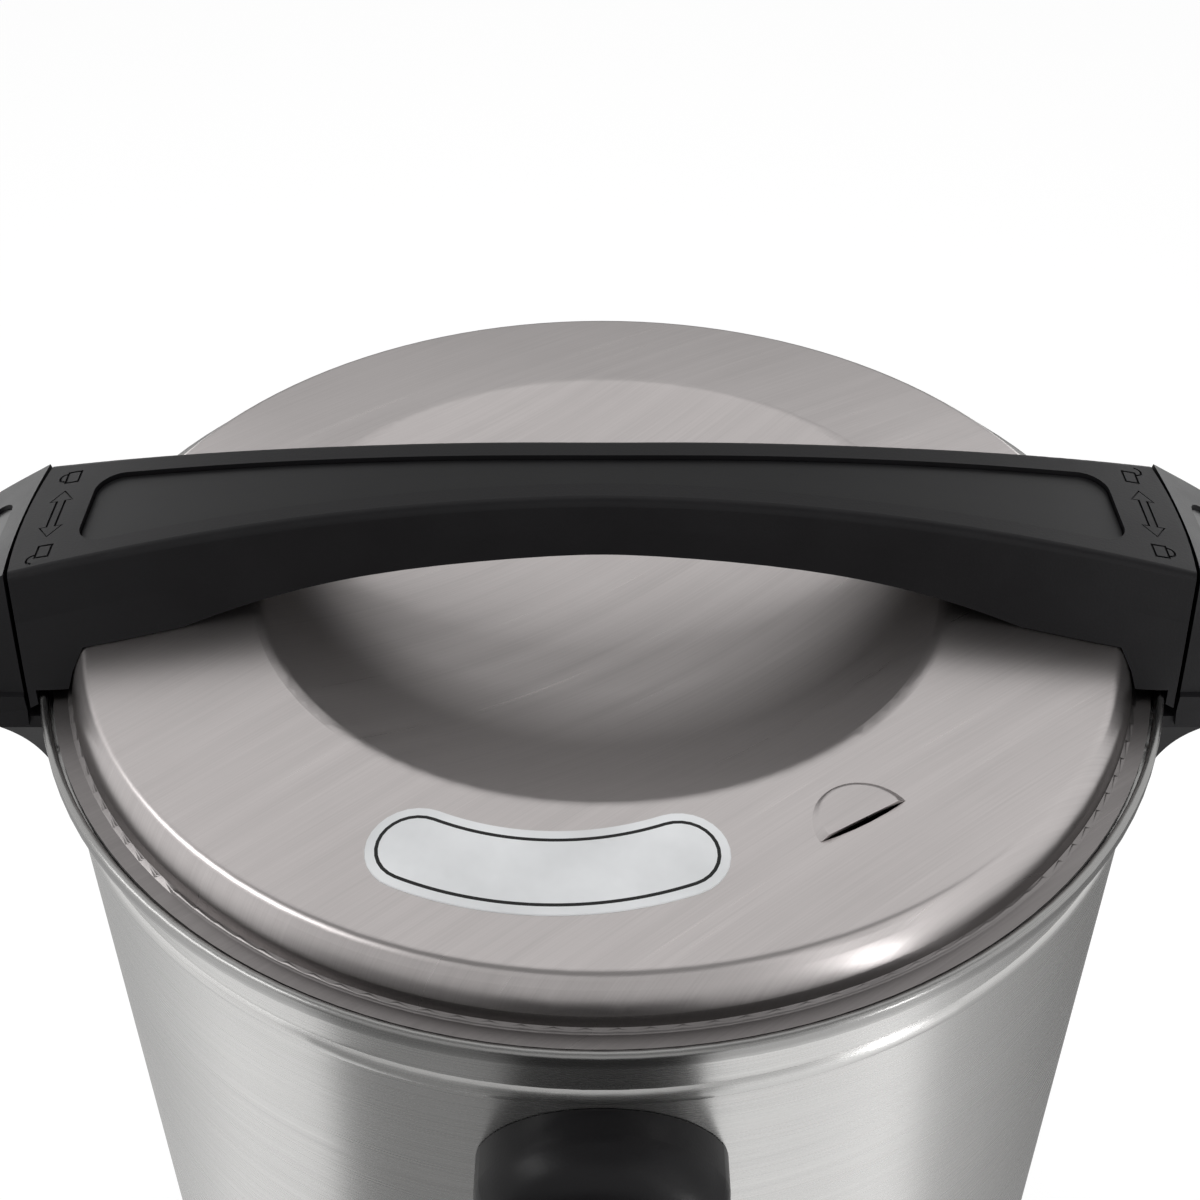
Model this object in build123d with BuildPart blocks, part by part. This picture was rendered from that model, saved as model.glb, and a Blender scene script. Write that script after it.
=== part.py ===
from build123d import *
import os
from math import atan, cos, degrees, hypot, radians, sin, sqrt

# A percolating coffee urn in brushed stainless steel and black moulded plastic.
# Millimetres. +Z is up, the urn stands on Z = 0, the tap faces -Y, the side handles lie along X,
# and the origin is on the axis of the round tank, in the plane the feet stand on.

os.makedirs("parts", exist_ok=True)

# ---------------------------------------------------------------- driving dimensions
# Tank
rim_height = 410.0          # standing plane to the top of the rolled rim
body_radius = 137.6         # outside of the tank wall
tank_wall = 1.0             # sheet of the tank wall
rim_overhang = 3.4          # how far the rolled rim stands out past the wall
rim_depth = 4.6             # height of the rolled rim
hem_width = 2.2             # folded thickness of the rim
hem_round = 0.8             # rounding of the rim's outer edge
bead_drop = 18.0            # rim top down to the middle of the pressed bead
bead_half = 2.6             # half of the bead's height
bead_proud = 0.9            # how far the bead stands out
floor_height = 90.0         # standing plane to the tank floor
floor_sheet = 1.2           # sheet of the tank floor
floor_flange = 9.0          # upturned edge of the floor, welded to the wall
well_radius = 33.0          # pump well in the floor
well_depth = 8.0
well_taper = 3.0            # how much smaller the well's floor is than its mouth

# Lid
lid_sheet = 1.0             # sheet of the lid
lid_radius = body_radius + 0.4  # edge of the lid's flange
shoulder_radius = lid_radius - 9.3  # where the plateau and the lid's leaning wall would meet
wall_bend_radius = lid_radius - 6.0  # bend of that wall, and its height above the rim
wall_bend_rise = 4.7
wall_foot_radius = lid_radius - 4.4  # where the wall and the flange would meet
plateau_edge_rise = 9.9     # rim top up to the outer edge of the plateau
plateau_rise = 14.3         # rim top up to the edge of the dish
dish_radius = shoulder_radius - 42.7  # edge of the shallow dish
dish_round = 7.0            # soft roll along that edge
dish_depth = 16.0           # dish edge down to its lowest point
shoulder_fillet = 2.8
wall_fillet = 18.0
flange_fillet = 1.2
skirt_radius = lid_radius - 1.9  # outside of the locating skirt under the lid
skirt_sheet = 1.0
skirt_drop = 8.0
skirt_flange = 3.2          # inward flange by which the skirt is welded to the lid
seal_sheet = 0.8            # silicone ring between the lid and its ledge
vent_radius = shoulder_radius - 23.3  # axis to the middle of the steam slit
vent_angle = -57.9          # direction of the slit, degrees from +X
vent_length = 23.0
vent_width = 0.9
vent_crown = 3.6            # crown of the ball that shapes the sides of the pressed hood
vent_lip = 1.3              # how far the hood's straight lip stands up behind the slit
vent_back = 0.4             # height of the hood's flat top over its inner edge
vent_reach = 10.6           # slit to the hood's inner edge
vent_round = 0.8            # rounding between the hood's flat top and its sides

# Lid handle
handle_crown = 42.0         # rim top up to the top of the handle at its middle
handle_end_rise = 27.0      # rim top up to the top of the handle at its ends
handle_reach = body_radius + 6.0  # axis to the end faces of the lid handle
handle_mid_half = 12.9      # half widths of the top, at the middle and at the ends
handle_end_half = 23.5
foot_end_half = 34.5        # half width of the foot where it passes the rim
arch_rise = 27.3            # rim top up to the underside of the arch at its middle
arch_half_span = handle_reach - 42.6  # axis to where the arch meets the plateau
tongue_thickness = 2.0      # tongue that passes down outside the rim
tongue_drop = 5.0
inlay_half_length = handle_reach - 16.6
inlay_recess = 1.2          # top of the inlay below the handle's surface
inlay_thickness = 1.2
inlay_margin = 7.3          # handle's top edge to the inlay's edge
inlay_corner = 6.0
icon_line = 0.6
icon_depth = 0.5
icon_reach = handle_reach - 8.2  # axis to the row of engraved pictograms
icon_spread = 15.6          # middle of the row to either padlock
icon_body_width = 5.2
icon_body_height = 4.0
icon_shackle = 1.9          # outer radius of a padlock's shackle
icon_arrow = (9.6, 5.4, 2.9, 1.1)  # half length, to its heads' backs, half widths of head, shaft
handle_edge_round = 2.2     # rounding along the edges of the handle's top
foot_screw_reach = handle_reach - 31.6  # axis of the urn to the screws in the handle's feet, along X
foot_screw_half = 13.0      # half of the distance between the two screws of one foot
foot_screw_radius = 2.0

# Side handles
seam_gap = 1.0              # running gap between the lid handle and a side handle
ear_reach = handle_reach + 43.4  # axis to the outer end of a side handle
ear_slope = 0.62            # fall of the ear's top from the seam outwards
ear_curl = 0.003            # how fast that fall grows
bracket_drop = 52.0         # rim top down to the lower end of the handle's bracket
bracket_half = 36.0         # half width of the bracket at its top and bottom
bracket_foot_half = 19.0
handle_screw_drops = (17.0, 32.0)
handle_screw_seats = (body_radius + 5.0, body_radius + 3.1)  # axis to the faces the screw heads bear on
handle_screw_radius = 2.0
handle_screw_head = 4.0
finger_half_width = 26.0
finger_inner = handle_reach + 9.4  # axis to the two ends of the finger recess
finger_outer = ear_reach - 6.5
side_inlay_inner = handle_reach + 6.9
side_inlay_outer = ear_reach - 12.0
side_inlay_half = 14.5
side_inlay_corner = 5.0
ear_end_round = 3.0         # rounding of a side handle's outer end
bracket_inner = body_radius - 13.6  # where the bracket's blank starts, inside the tank wall
bracket_mid = body_radius + 13.4  # axis to where the bracket's hollow meets the ear
bracket_round = 12.0        # rounding of the bracket's lower corners
bracket_flare = 3.0         # how much wider the ear is than the bracket
handle_screw_head_height = 2.4
handle_seal_radius = 5.5
handle_seal_sheet = 1.2
handle_nut_radius = 4.2
handle_nut_height = 5.5

# Gauge column
column_half = 27.0
column_top_drop = 21.4      # rim top down to the crown of the arched top
column_arch = 28.5          # radius of the arched top
column_depth = 17.0         # tank wall out to the face of the column
column_round = 11.0         # rounding of the column's front edges
column_corner = 13.0
column_foot = floor_height - 2.0  # standing plane to the lower end of the column
column_screw_radius = 2.0
window_half = 4.5
window_low = floor_height + 52.0
window_high = rim_height - 84.0
tube_radius = 6.0           # sight tube
tube_bore = 4.5
tube_low = floor_height + 38.0
tube_high = rim_height - 64.0
tube_standoff = 8.0         # tank wall out to the tube's axis
scale_sheet = 0.8

# Tap
tap_height = floor_height + 24.0  # standing plane to the axis of the tap's shank
shank_radius = 9.0
shank_bore = 5.5
tap_reach = body_radius + 52.4  # axis of the urn to the axis of the tap's barrel
barrel_radius = 14.0
barrel_bore = 10.5
barrel_low = tap_height - 18.0
barrel_high = tap_height + 24.0
seat_height = tap_height - 10.0
spout_low = tap_height - 34.0
spout_radius = 9.5
spout_bore = 6.5
stem_radius = 3.0
lever_arm = 10.0            # lever pin to the stem's axis
lever_pin_height = tap_height + 36.0
lever_pin_radius = 2.0
lever_top = tap_height + 102.0
arm_radius = 10.5
spout_taper = 12.0          # height of the cone between barrel and spout
feed_radius = 2.5           # cross hole in the shank that feeds the sight tube

# Brewing set
basket_radius = 80.0
basket_sheet = 1.0
basket_low = rim_height - 109.0
basket_high = rim_height - 26.0
pump_tube_radius = 5.0
pump_tube_bore = 4.0
pump_tube_top = rim_height - 12.0
pump_foot_radius = 29.0
sleeve_radius = 6.4
sleeve_length = 29.0
bell_neck = 8.0             # straight collar of the pump's bell on the tube
valve_radius = 11.0
valve_sheet = 0.8
valve_gap = 0.3             # valve washer to the tube it slides on
spreader_skirt = 6.0
spreader_hole_gap = 2.0     # pump tube to the hole in the spreader

# Base
base_radius = body_radius + 3.4
base_wall = 3.0
base_low = 6.0
base_high = floor_height - 4.0
base_ledge = floor_height - 10.0  # where the tank wall's lower edge rests
plate_low = 7.0
plate_sheet = 3.0
plate_radius = base_radius - 3.4
ledge_sheet = 3.0           # thickness and width of the ledge that carries the tank
ledge_width = 8.0
base_round = 2.2            # rounding of the housing's upper edge
base_chamfer = 1.5
boss_height = 22.0
plate_screw_radius = 1.5
plate_screw_head = 3.4
plate_screw_head_height = 2.2
plate_screw_length = 15.0
foot_ring = base_radius - 29.0  # axis to the rubber feet
foot_radius = 12.0
stud_ring = body_radius - 34.6
stud_radius = 2.5
panel_half = 45.0
panel_low = 19.0
panel_high = 69.0
panel_face = base_radius + 4.5  # axis to the flat face of the control panel
inlet_half = 29.0
inlet_low = 22.0
inlet_high = 54.0
inlet_face = base_radius + 3.0

# Clearances
fit_gap = 0.2               # pieces of one body that sit in each other
running_gap = 0.4           # pieces that move past each other
inlay_gap = 0.4             # shadow line round an inlay
pin_gap = 0.06              # a pin in its running bore
weld_gap = 0.02             # pieces that are welded or pressed together
thread_gap = 0.05           # a screw in its threaded hole
face_gap = 0.1              # faces that bear on each other
cut_through = 60.0          # length of a cut that passes right through
hex_radius = 1.4            # hexagon socket in a screw's head
hex_depth = 1.3

# ---------------------------------------------------------------- derived values
tank_radius = body_radius - tank_wall
rim_radius = body_radius + rim_overhang
ledge_top = rim_height - rim_depth + tank_wall
seal_low = ledge_top + face_gap
flange_low = seal_low + seal_sheet + face_gap
flange_top = flange_low + lid_sheet
seam_radius = handle_reach + seam_gap
seat_inner = 60.0
plateau_fall = (plateau_rise - plateau_edge_rise) / (shoulder_radius - dish_radius)
rim_clearance = 0.9
ledge_drop = tongue_drop + 1.3
well_floor = floor_height - well_depth
front = -body_radius


def handle_top(x):
    """Height of the lid handle's top surface above the rim at a distance x from the axis."""
    return handle_crown - (handle_crown - handle_end_rise) * (x / handle_reach) ** 2


def handle_half(x):
    """Half width of the lid handle's top at a distance x from the axis."""
    return handle_mid_half + (handle_end_half - handle_mid_half) * (abs(x) / handle_reach) ** 1.6


def plateau_height(r):
    """Height of the lid's plateau above the rim at radius r."""
    return plateau_rise - plateau_fall * (r - dish_radius)


# ---------------------------------------------------------------- tank
with BuildPart() as body_shell:
    hem_low = rim_height - rim_depth
    hem_half = hem_width / 2
    with BuildSketch(Plane.XZ):
        with BuildLine():
            bead_z = rim_height - bead_drop
            Polyline(
                (tank_radius, ledge_top),
                (tank_radius, base_ledge),
                (body_radius, base_ledge),
                (body_radius, bead_z - bead_half),
            )
            ThreePointArc(
                (body_radius, bead_z - bead_half),
                (body_radius + bead_proud, bead_z),
                (body_radius, bead_z + bead_half),
            )
            Polyline(
                (body_radius, bead_z + bead_half),
                (body_radius, hem_low - hem_round),
                (rim_radius - hem_round, hem_low),
                (rim_radius, hem_low + hem_round),
                (rim_radius, rim_height - hem_half),
            )
            ThreePointArc(
                (rim_radius, rim_height - hem_half),
                (rim_radius - hem_half, rim_height),
                (rim_radius - hem_width, rim_height - hem_half),
            )
            Polyline(
                (rim_radius - hem_width, rim_height - hem_half),
                (rim_radius - hem_width, ledge_top),
                (tank_radius, ledge_top),
            )
        make_face()
    revolve(axis=Axis.Z)
    with Locations((0, front, tap_height)):
        Cylinder(shank_radius + fit_gap, cut_through, rotation=(90, 0, 0), mode=Mode.SUBTRACT)
    with Locations((0, front, rim_height - column_top_drop - column_arch)):
        Cylinder(column_screw_radius + fit_gap, cut_through, rotation=(90, 0, 0), mode=Mode.SUBTRACT)
    for side in (-1, 1):
        for drop in handle_screw_drops:
            with Locations((side * body_radius, 0, rim_height - drop)):
                Cylinder(
                    handle_screw_radius + fit_gap, cut_through / 2, rotation=(0, 90, 0),
                    mode=Mode.SUBTRACT,
                )
body_shell.part.label = "body_shell"
export_step(body_shell.part, "parts/body_shell.step")

with BuildPart() as tank_floor:
    weld_radius = tank_radius - weld_gap
    with BuildSketch(Plane.XZ):
        with BuildLine():
            Polyline(
                (0, well_floor),
                (well_radius - well_taper, well_floor),
                (well_radius, floor_height),
                (weld_radius - floor_sheet, floor_height),
                (weld_radius - floor_sheet, floor_height + floor_flange),
                (weld_radius, floor_height + floor_flange),
                (weld_radius, floor_height - floor_sheet),
                (well_radius + floor_sheet, floor_height - floor_sheet),
                (well_radius - well_taper + floor_sheet, well_floor - floor_sheet),
                (0, well_floor - floor_sheet),
                close=True,
            )
        make_face()
    revolve(axis=Axis.Z)
tank_floor.part.label = "tank_floor"
export_step(tank_floor.part, "parts/tank_floor.step")

# ---------------------------------------------------------------- heating
floor_under = floor_height - floor_sheet
spreader_inner = 42.0
spreader_outer = 92.0
spreader_thickness = 3.0
with BuildPart() as heat_spreader:
    with BuildSketch(Plane.XY.offset(floor_under - spreader_thickness)):
        Circle(spreader_outer)
        Circle(spreader_inner, mode=Mode.SUBTRACT)
    extrude(amount=spreader_thickness)
heat_spreader.part.label = "heat_spreader"
export_step(heat_spreader.part, "parts/heat_spreader.step")

element_radius = 66.0
element_tube = 4.0
element_height = floor_under - spreader_thickness - element_tube
element_gap_angle = 26.0
element_leg = 18.0          # turned-down ends of the sheath, and the pins in them
element_pin = 27.0
element_pin_radius = 1.6
well_heater_height = 6.0
well_heater_inset = 9.0     # edge of the well to the middle of its heater's ring
well_heater_half = 4.0
well_post_radius = 2.0
well_post_length = 10.0
with BuildPart() as heating_element:
    ends = (element_gap_angle / 2, 360 - element_gap_angle / 2)
    with BuildSketch(Plane.XZ.rotated((0, 0, ends[0]))):
        with Locations((element_radius, element_height)):
            Circle(element_tube)
    revolve(axis=Axis.Z, revolution_arc=360 - element_gap_angle)
    for angle in ends:
        end = (element_radius * cos(radians(angle)), element_radius * sin(radians(angle)))
        with Locations((end[0], end[1], element_height)):
            Sphere(element_tube)
            Cylinder(
                element_tube - 0.6, element_leg, align=(Align.CENTER, Align.CENTER, Align.MAX)
            )
            Cylinder(
                element_pin_radius, element_pin, align=(Align.CENTER, Align.CENTER, Align.MAX)
            )
heating_element.part.label = "heating_element"
export_step(heating_element.part, "parts/heating_element.step")

well_heater_ring = well_radius - well_heater_inset
well_heater_low = well_floor - floor_sheet - well_heater_height
with BuildPart() as well_heater:
    with BuildSketch(Plane.XY.offset(well_heater_low)):
        Circle(well_heater_ring + well_heater_half)
        Circle(well_heater_ring - well_heater_half, mode=Mode.SUBTRACT)
    extrude(amount=well_heater_height)
    for side in (-1, 1):
        with Locations((side * well_heater_ring, 0, well_heater_low)):
            Cylinder(
                well_post_radius, well_post_length, align=(Align.CENTER, Align.CENTER, Align.MAX)
            )
well_heater.part.label = "well_heater"
export_step(well_heater.part, "parts/well_heater.step")

cutout_ring = body_radius - 24.6
thermostat_angle = 210.0
cutout_angle = 180.0
cutout_radius = 11.0
cutout_flange = 2.0         # thickness of the flange that bears on the tank floor
cutout_case = 9.0           # depth of the case under it
cutout_case_inset = 3.0     # flange's edge to the case
blade_half_pitch = 3.5
blade_sheet = 0.8
blade_width = 6.3
blade_length = 9.0


def disc_cutout(angle):
    """Snap-disc switch hanging under the tank floor, with its flange and two blade terminals."""
    spot = (cutout_ring * cos(radians(angle)), cutout_ring * sin(radians(angle)))
    with Locations((spot[0], spot[1], floor_under)):
        Cylinder(
            cutout_radius, cutout_flange, align=(Align.CENTER, Align.CENTER, Align.MAX)
        )
    with Locations((spot[0], spot[1], floor_under - cutout_flange)):
        Cylinder(
            cutout_radius - cutout_case_inset, cutout_case,
            align=(Align.CENTER, Align.CENTER, Align.MAX),
        )
    for side in (-1, 1):
        with Locations(
            (spot[0] + side * blade_half_pitch, spot[1], floor_under - cutout_flange - cutout_case)
        ):
            Box(
                blade_sheet, blade_width, blade_length,
                align=(Align.CENTER, Align.CENTER, Align.MAX),
            )


with BuildPart() as thermostat:
    disc_cutout(thermostat_angle)
thermostat.part.label = "thermostat"
export_step(thermostat.part, "parts/thermostat.step")

with BuildPart() as thermal_cutout:
    disc_cutout(cutout_angle)
thermal_cutout.part.label = "thermal_cutout"
export_step(thermal_cutout.part, "parts/thermal_cutout.step")

# ---------------------------------------------------------------- lid
with BuildPart() as lid_seal:
    with BuildSketch(Plane.XY.offset(seal_low)):
        Circle(lid_radius)
        Circle(tank_radius + fit_gap, mode=Mode.SUBTRACT)
    extrude(amount=seal_sheet)
lid_seal.part.label = "lid_seal"
export_step(lid_seal.part, "parts/lid_seal.step")

plateau_edge = rim_height + plateau_edge_rise
dish_edge = rim_height + plateau_rise
dish_low = dish_edge - dish_depth
dish_curve = (dish_radius**2 + dish_depth**2) / (2 * dish_depth)


lid_corners = (
    (dish_radius, dish_edge),
    (shoulder_radius, plateau_edge),
    (wall_bend_radius, rim_height + wall_bend_rise),
    (wall_foot_radius, flange_top),
    (lid_radius, flange_top),
)


def lid_outline(inset):
    """Corners of the lid's section outside the dish, a distance inset under the outer face."""
    moved = [(dish_radius, dish_edge - inset)]
    for before, here, after in zip(lid_corners, lid_corners[1:], lid_corners[2:]):
        first = (Vector(*here) - Vector(*before)).normalized()
        second = (Vector(*after) - Vector(*here)).normalized()
        share = inset / (1 + first.dot(second))
        moved.append((
            here[0] + share * (first.Y + second.Y),
            here[1] - share * (first.X + second.X),
        ))
    return moved + [(lid_radius, flange_top - inset)]


def lid_line(inset):
    """Section of the lid from its middle to its edge, a distance inset below the top surface."""
    mid = dish_radius / 2
    mid_height = dish_low + dish_curve - sqrt(dish_curve**2 - mid**2)
    ThreePointArc(
        (0, dish_low - inset), (mid, mid_height - inset), (dish_radius, dish_edge - inset)
    )
    FilletPolyline(
        *lid_outline(inset),
        radius=(shoulder_fillet - inset, wall_fillet - inset, flange_fillet + inset),
    )


vent_place = Location(
    (
        vent_radius * cos(radians(vent_angle)),
        vent_radius * sin(radians(vent_angle)),
        rim_height + plateau_height(vent_radius),
    ),
    (0, 0, vent_angle),
) * Location((0, 0, 0), (0, degrees(atan(plateau_fall)), 0))


def vent_form(inset):
    """Pressed hood of the steam vent: a ball's crown cut by a flat top, a distance inset inside."""
    shift = ((vent_length / 2) ** 2 - vent_reach**2) / (2 * vent_reach)
    base = vent_reach + shift
    ball = (base**2 + vent_crown**2) / (2 * vent_crown)
    with BuildPart() as form:
        with BuildSketch(Plane.XZ):
            with BuildLine():
                Polyline(
                    (0, -2 * lid_sheet), (0, vent_lip - inset), (-vent_reach, vent_back - inset),
                    (-vent_reach, -2 * lid_sheet), close=True,
                )
            make_face()
        extrude(amount=vent_length / 2, both=True)
        with Locations((shift, 0, vent_crown - ball)):
            Sphere(ball - inset, mode=Mode.INTERSECT)
    return form.part


with BuildPart() as vent_hood:
    add(vent_form(0))
    top_face = faces().filter_by(GeomType.PLANE).sort_by(Axis.Z)[-1]
    fillet(top_face.edges().filter_by(GeomType.CIRCLE), vent_round)

with BuildPart() as vent_slit:
    with BuildSketch(Plane.XY.offset(-3 * lid_sheet)):
        with BuildLine():
            ThreePointArc((0, -vent_length / 2), (vent_width, 0), (0, vent_length / 2))
            Line((0, vent_length / 2), (0, -vent_length / 2))
        make_face()
    extrude(amount=6 * lid_sheet)

with BuildSketch(Plane.XZ) as lid_section:
    with BuildLine():
        lid_line(0)
        lid_line(lid_sheet)
        Line((0, dish_low), (0, dish_low - lid_sheet))
        Line((lid_radius, flange_top), (lid_radius, flange_top - lid_sheet))
    make_face()
    fillet([corner for corner in vertices() if abs(corner.X - dish_radius) < fit_gap], dish_round)

half_lid = revolve(lid_section.sketch, axis=Axis.Z, revolution_arc=180, clean=False)

with BuildPart() as lid_shell:
    # two mirrored halves, whose faces stay separate so that the long curves are even
    add(half_lid, clean=False)
    add(mirror(half_lid, about=Plane.XZ, mode=Mode.PRIVATE), clean=False)
    # steam vent: a hood pressed up behind the slit, with the sheet opened under it
    add(vent_place * vent_hood.part, clean=False)
    add(vent_place * vent_form(lid_sheet), clean=False, mode=Mode.SUBTRACT)
    add(vent_place * vent_slit.part, clean=False, mode=Mode.SUBTRACT)
    with BuildSketch(Plane.XY.offset(dish_low)):
        with Locations(
            *((side * foot_screw_reach, step * foot_screw_half) for side in (-1, 1) for step in (-1, 1))
        ):
            Circle(foot_screw_radius + fit_gap)
    extrude(amount=cut_through / 2, clean=False, mode=Mode.SUBTRACT)
lid_shell.part.label = "lid_shell"
export_step(lid_shell.part, "parts/lid_shell.step")

with BuildPart() as lid_skirt:
    with BuildSketch(Plane.XZ):
        with BuildLine():
            Polyline(
                (skirt_radius - skirt_flange, flange_low - weld_gap),
                (skirt_radius, flange_low - weld_gap),
                (skirt_radius, flange_low - skirt_drop),
                (skirt_radius - skirt_sheet, flange_low - skirt_drop),
                (skirt_radius - skirt_sheet, flange_low - skirt_sheet),
                (skirt_radius - skirt_flange, flange_low - skirt_sheet),
                close=True,
            )
        make_face()
    revolve(axis=Axis.Z)
lid_skirt.part.label = "lid_skirt"
export_step(lid_skirt.part, "parts/lid_skirt.step")

# ---------------------------------------------------------------- lid handle
foot_screw_ring = hypot(foot_screw_reach, foot_screw_half)
foot_washer_radius = 5.0
foot_washer_sheet = 1.0
foot_washer_top = (
    rim_height + plateau_height(foot_screw_ring + foot_washer_radius) - lid_sheet - face_gap
)
foot_screw_length = 15.0
foot_screw_head = 3.6
foot_screw_head_height = 2.4

# Sections of the handle: distance from the axis, half width and height of the crease on its
# sides, half width and height of its lower edge. Heights are above the rim.
handle_sections = (
    (0.0, 14.0, 34.3, 15.5, 24.0),
    (handle_reach - 93.6, 16.0, 31.0, 17.6, 19.0),
    (handle_reach - 58.6, 19.3, 25.5, 21.8, 12.0),
    (handle_reach - 39.6, 22.4, 22.4, 27.0, 6.0),
    (handle_reach - 18.6, 25.6, 18.9, 33.4, 1.0),
    (handle_reach + 4.4, 28.8, 14.4, 37.4, -10.0),
)


def side_outline(top_half, top, crease_half, crease, low_half, low):
    """Closed six-sided outline of a handle section, the same on both sides."""
    right = [(top_half, top), (crease_half, crease), (low_half, low)]
    left = [(-y, z) for y, z in reversed(right)]
    return [(y, rim_height + z) for y, z in right + left]


def inlay_outline(grow):
    """Waisted outline of the lid handle's inlay, grown by a gap on every side."""
    reach = inlay_half_length + grow
    stations = [reach * step / 4 for step in range(-4, 5)]
    back = [(x, handle_half(x) - inlay_margin + grow) for x in stations]
    front_edge = [(x, -y) for x, y in back]
    with BuildLine() as outline:
        Spline(*back)
        Spline(*front_edge)
        Line(back[0], front_edge[0])
        Line(back[-1], front_edge[-1])
    make_face(outline.edges())
    corners = [v for v in vertices() if abs(v.X) > reach - 1]
    fillet(corners, inlay_corner + grow)


def handle_band(high, low):
    """Sheet that follows the top of the lid handle between two depths below its surface."""
    with BuildSketch(Plane.XZ) as band:
        with BuildLine():
            x = inlay_half_length + 5
            for depth in (high, low):
                Spline(*[(k * x / 6, rim_height + handle_top(k * x / 6) - depth) for k in range(-6, 7)])
            for side in (-1, 1):
                z = rim_height + handle_top(x)
                Line((side * x, z - high), (side * x, z - low))
        make_face()
    extrude(band.sketch, amount=handle_end_half, both=True, mode=Mode.INTERSECT)


def padlock(spot, shackle_turn):
    """Outline of a padlock, its shackle closed or swung over to one side."""
    with Locations(spot):
        Rectangle(icon_body_width, icon_body_height)
        Rectangle(
            icon_body_width - 2 * icon_line, icon_body_height - 2 * icon_line, mode=Mode.SUBTRACT
        )
    with Locations((spot[0] + shackle_turn, spot[1] + icon_body_height / 2)):
        with BuildSketch(mode=Mode.PRIVATE) as shackle:
            Circle(icon_shackle)
            Circle(icon_shackle - icon_line, mode=Mode.SUBTRACT)
            with Locations((0, -icon_shackle)):
                Rectangle(3 * icon_shackle, 2 * icon_shackle, mode=Mode.SUBTRACT)
        add(shackle.sketch)


def double_arrow(grow):
    """Arrow with a head at both ends."""
    reach, neck, barb, shaft = icon_arrow
    reach = reach + grow
    neck = neck - grow * 0.4
    barb = barb + grow
    shaft = shaft + grow
    with BuildLine() as outline:
        Polyline(
            (reach, 0), (neck, barb), (neck, shaft), (-neck, shaft), (-neck, barb),
            (-reach, 0), (-neck, -barb), (-neck, -shaft), (neck, -shaft), (neck, -barb),
            close=True,
        )
    make_face(outline.edges())


with BuildPart() as inlay_pocket:
    with BuildSketch(Plane.XY.offset(rim_height)):
        inlay_outline(inlay_gap)
    extrude(amount=handle_crown + 5)
    handle_band(-3, inlay_recess + inlay_thickness + face_gap)

with BuildPart() as lid_handle:
    stations = [(-row[0], *row[1:]) for row in reversed(handle_sections[1:])]
    for x, crease_half, crease, low_half, low in stations + list(handle_sections):
        with BuildSketch(Plane.YZ.offset(x)):
            with BuildLine():
                Polyline(
                    *side_outline(
                        handle_half(x), handle_top(x), crease_half, crease, low_half, low
                    ),
                    close=True,
                )
            make_face()
    loft()
    long_edges = edges().filter_by(lambda e: e.length > handle_reach and e.center().Z > rim_height + 15)
    top_edges = long_edges.group_by(lambda e: e.center().Z)[-1]
    fillet(top_edges, handle_edge_round)
    # finger arch between the two feet
    with BuildSketch(Plane.XZ):
        with BuildLine():
            arch_foot = rim_height + plateau_height(arch_half_span)
            ThreePointArc(
                (-arch_half_span, arch_foot), (0, rim_height + arch_rise), (arch_half_span, arch_foot)
            )
            Polyline(
                (arch_half_span, arch_foot), (arch_half_span, rim_height - 2 * plateau_edge_rise),
                (-arch_half_span, rim_height - 2 * plateau_edge_rise), (-arch_half_span, arch_foot),
            )
        make_face()
    extrude(amount=2 * foot_end_half, both=True, mode=Mode.SUBTRACT)
    # seat on the lid, passage over the rim, and the tongue outside it
    with BuildSketch(Plane.XZ):
        with BuildLine():
            low_cut = rim_height - 2 * plateau_edge_rise
            tongue_inner = handle_reach - tongue_thickness
            Polyline(
                (seat_inner, low_cut),
                (seat_inner, rim_height + plateau_height(seat_inner) + fit_gap),
                *lid_outline(-fit_gap)[:3],
                (wall_foot_radius + fit_gap, rim_height + rim_clearance),
                (tongue_inner, rim_height + rim_clearance),
                (tongue_inner, rim_height - tongue_drop),
                (ear_reach, rim_height - tongue_drop),
                (ear_reach, low_cut),
                close=True,
            )
        make_face()
    revolve(axis=Axis.Z, mode=Mode.SUBTRACT)
    with Locations((0, 0, rim_height)):
        Cylinder(handle_reach, 3 * handle_crown, mode=Mode.INTERSECT)
    add(inlay_pocket.part, mode=Mode.SUBTRACT)
    # pictograms: open and closed padlock with an arrow between them, the same from either end
    fall = 2 * (handle_crown - handle_end_rise) * icon_reach / handle_reach**2
    for side in (-1, 1):
        icon_plane = Plane(
            origin=(side * icon_reach, 0, rim_height + handle_top(icon_reach)),
            x_dir=(0, -side, 0),
            z_dir=(side * fall, 0, 1),
        )
        with BuildSketch(icon_plane):
            padlock((icon_spread, -0.8), 0)
            padlock((-icon_spread, -0.8), -2.9)
            double_arrow(icon_line / 2)
            with BuildSketch(mode=Mode.PRIVATE) as arrow_middle:
                double_arrow(-icon_line / 2)
            add(arrow_middle.sketch, mode=Mode.SUBTRACT)
        extrude(amount=icon_depth, both=True, mode=Mode.SUBTRACT)
    for side in (-1, 1):
        for step in (-1, 1):
            with Locations((side * foot_screw_reach, step * foot_screw_half, foot_washer_top)):
                Cylinder(
                    foot_screw_radius + thread_gap, foot_screw_length + 1,
                    align=(Align.CENTER, Align.CENTER, Align.MIN), mode=Mode.SUBTRACT,
                )
lid_handle.part.label = "lid_handle"
export_step(lid_handle.part, "parts/lid_handle.step")

with BuildPart() as lid_handle_inlay:
    with BuildSketch(Plane.XY.offset(rim_height)):
        inlay_outline(0)
    extrude(amount=handle_crown + 5)
    handle_band(inlay_recess, inlay_recess + inlay_thickness)
lid_handle_inlay.part.label = "lid_handle_inlay"
export_step(lid_handle_inlay.part, "parts/lid_handle_inlay.step")

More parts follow.
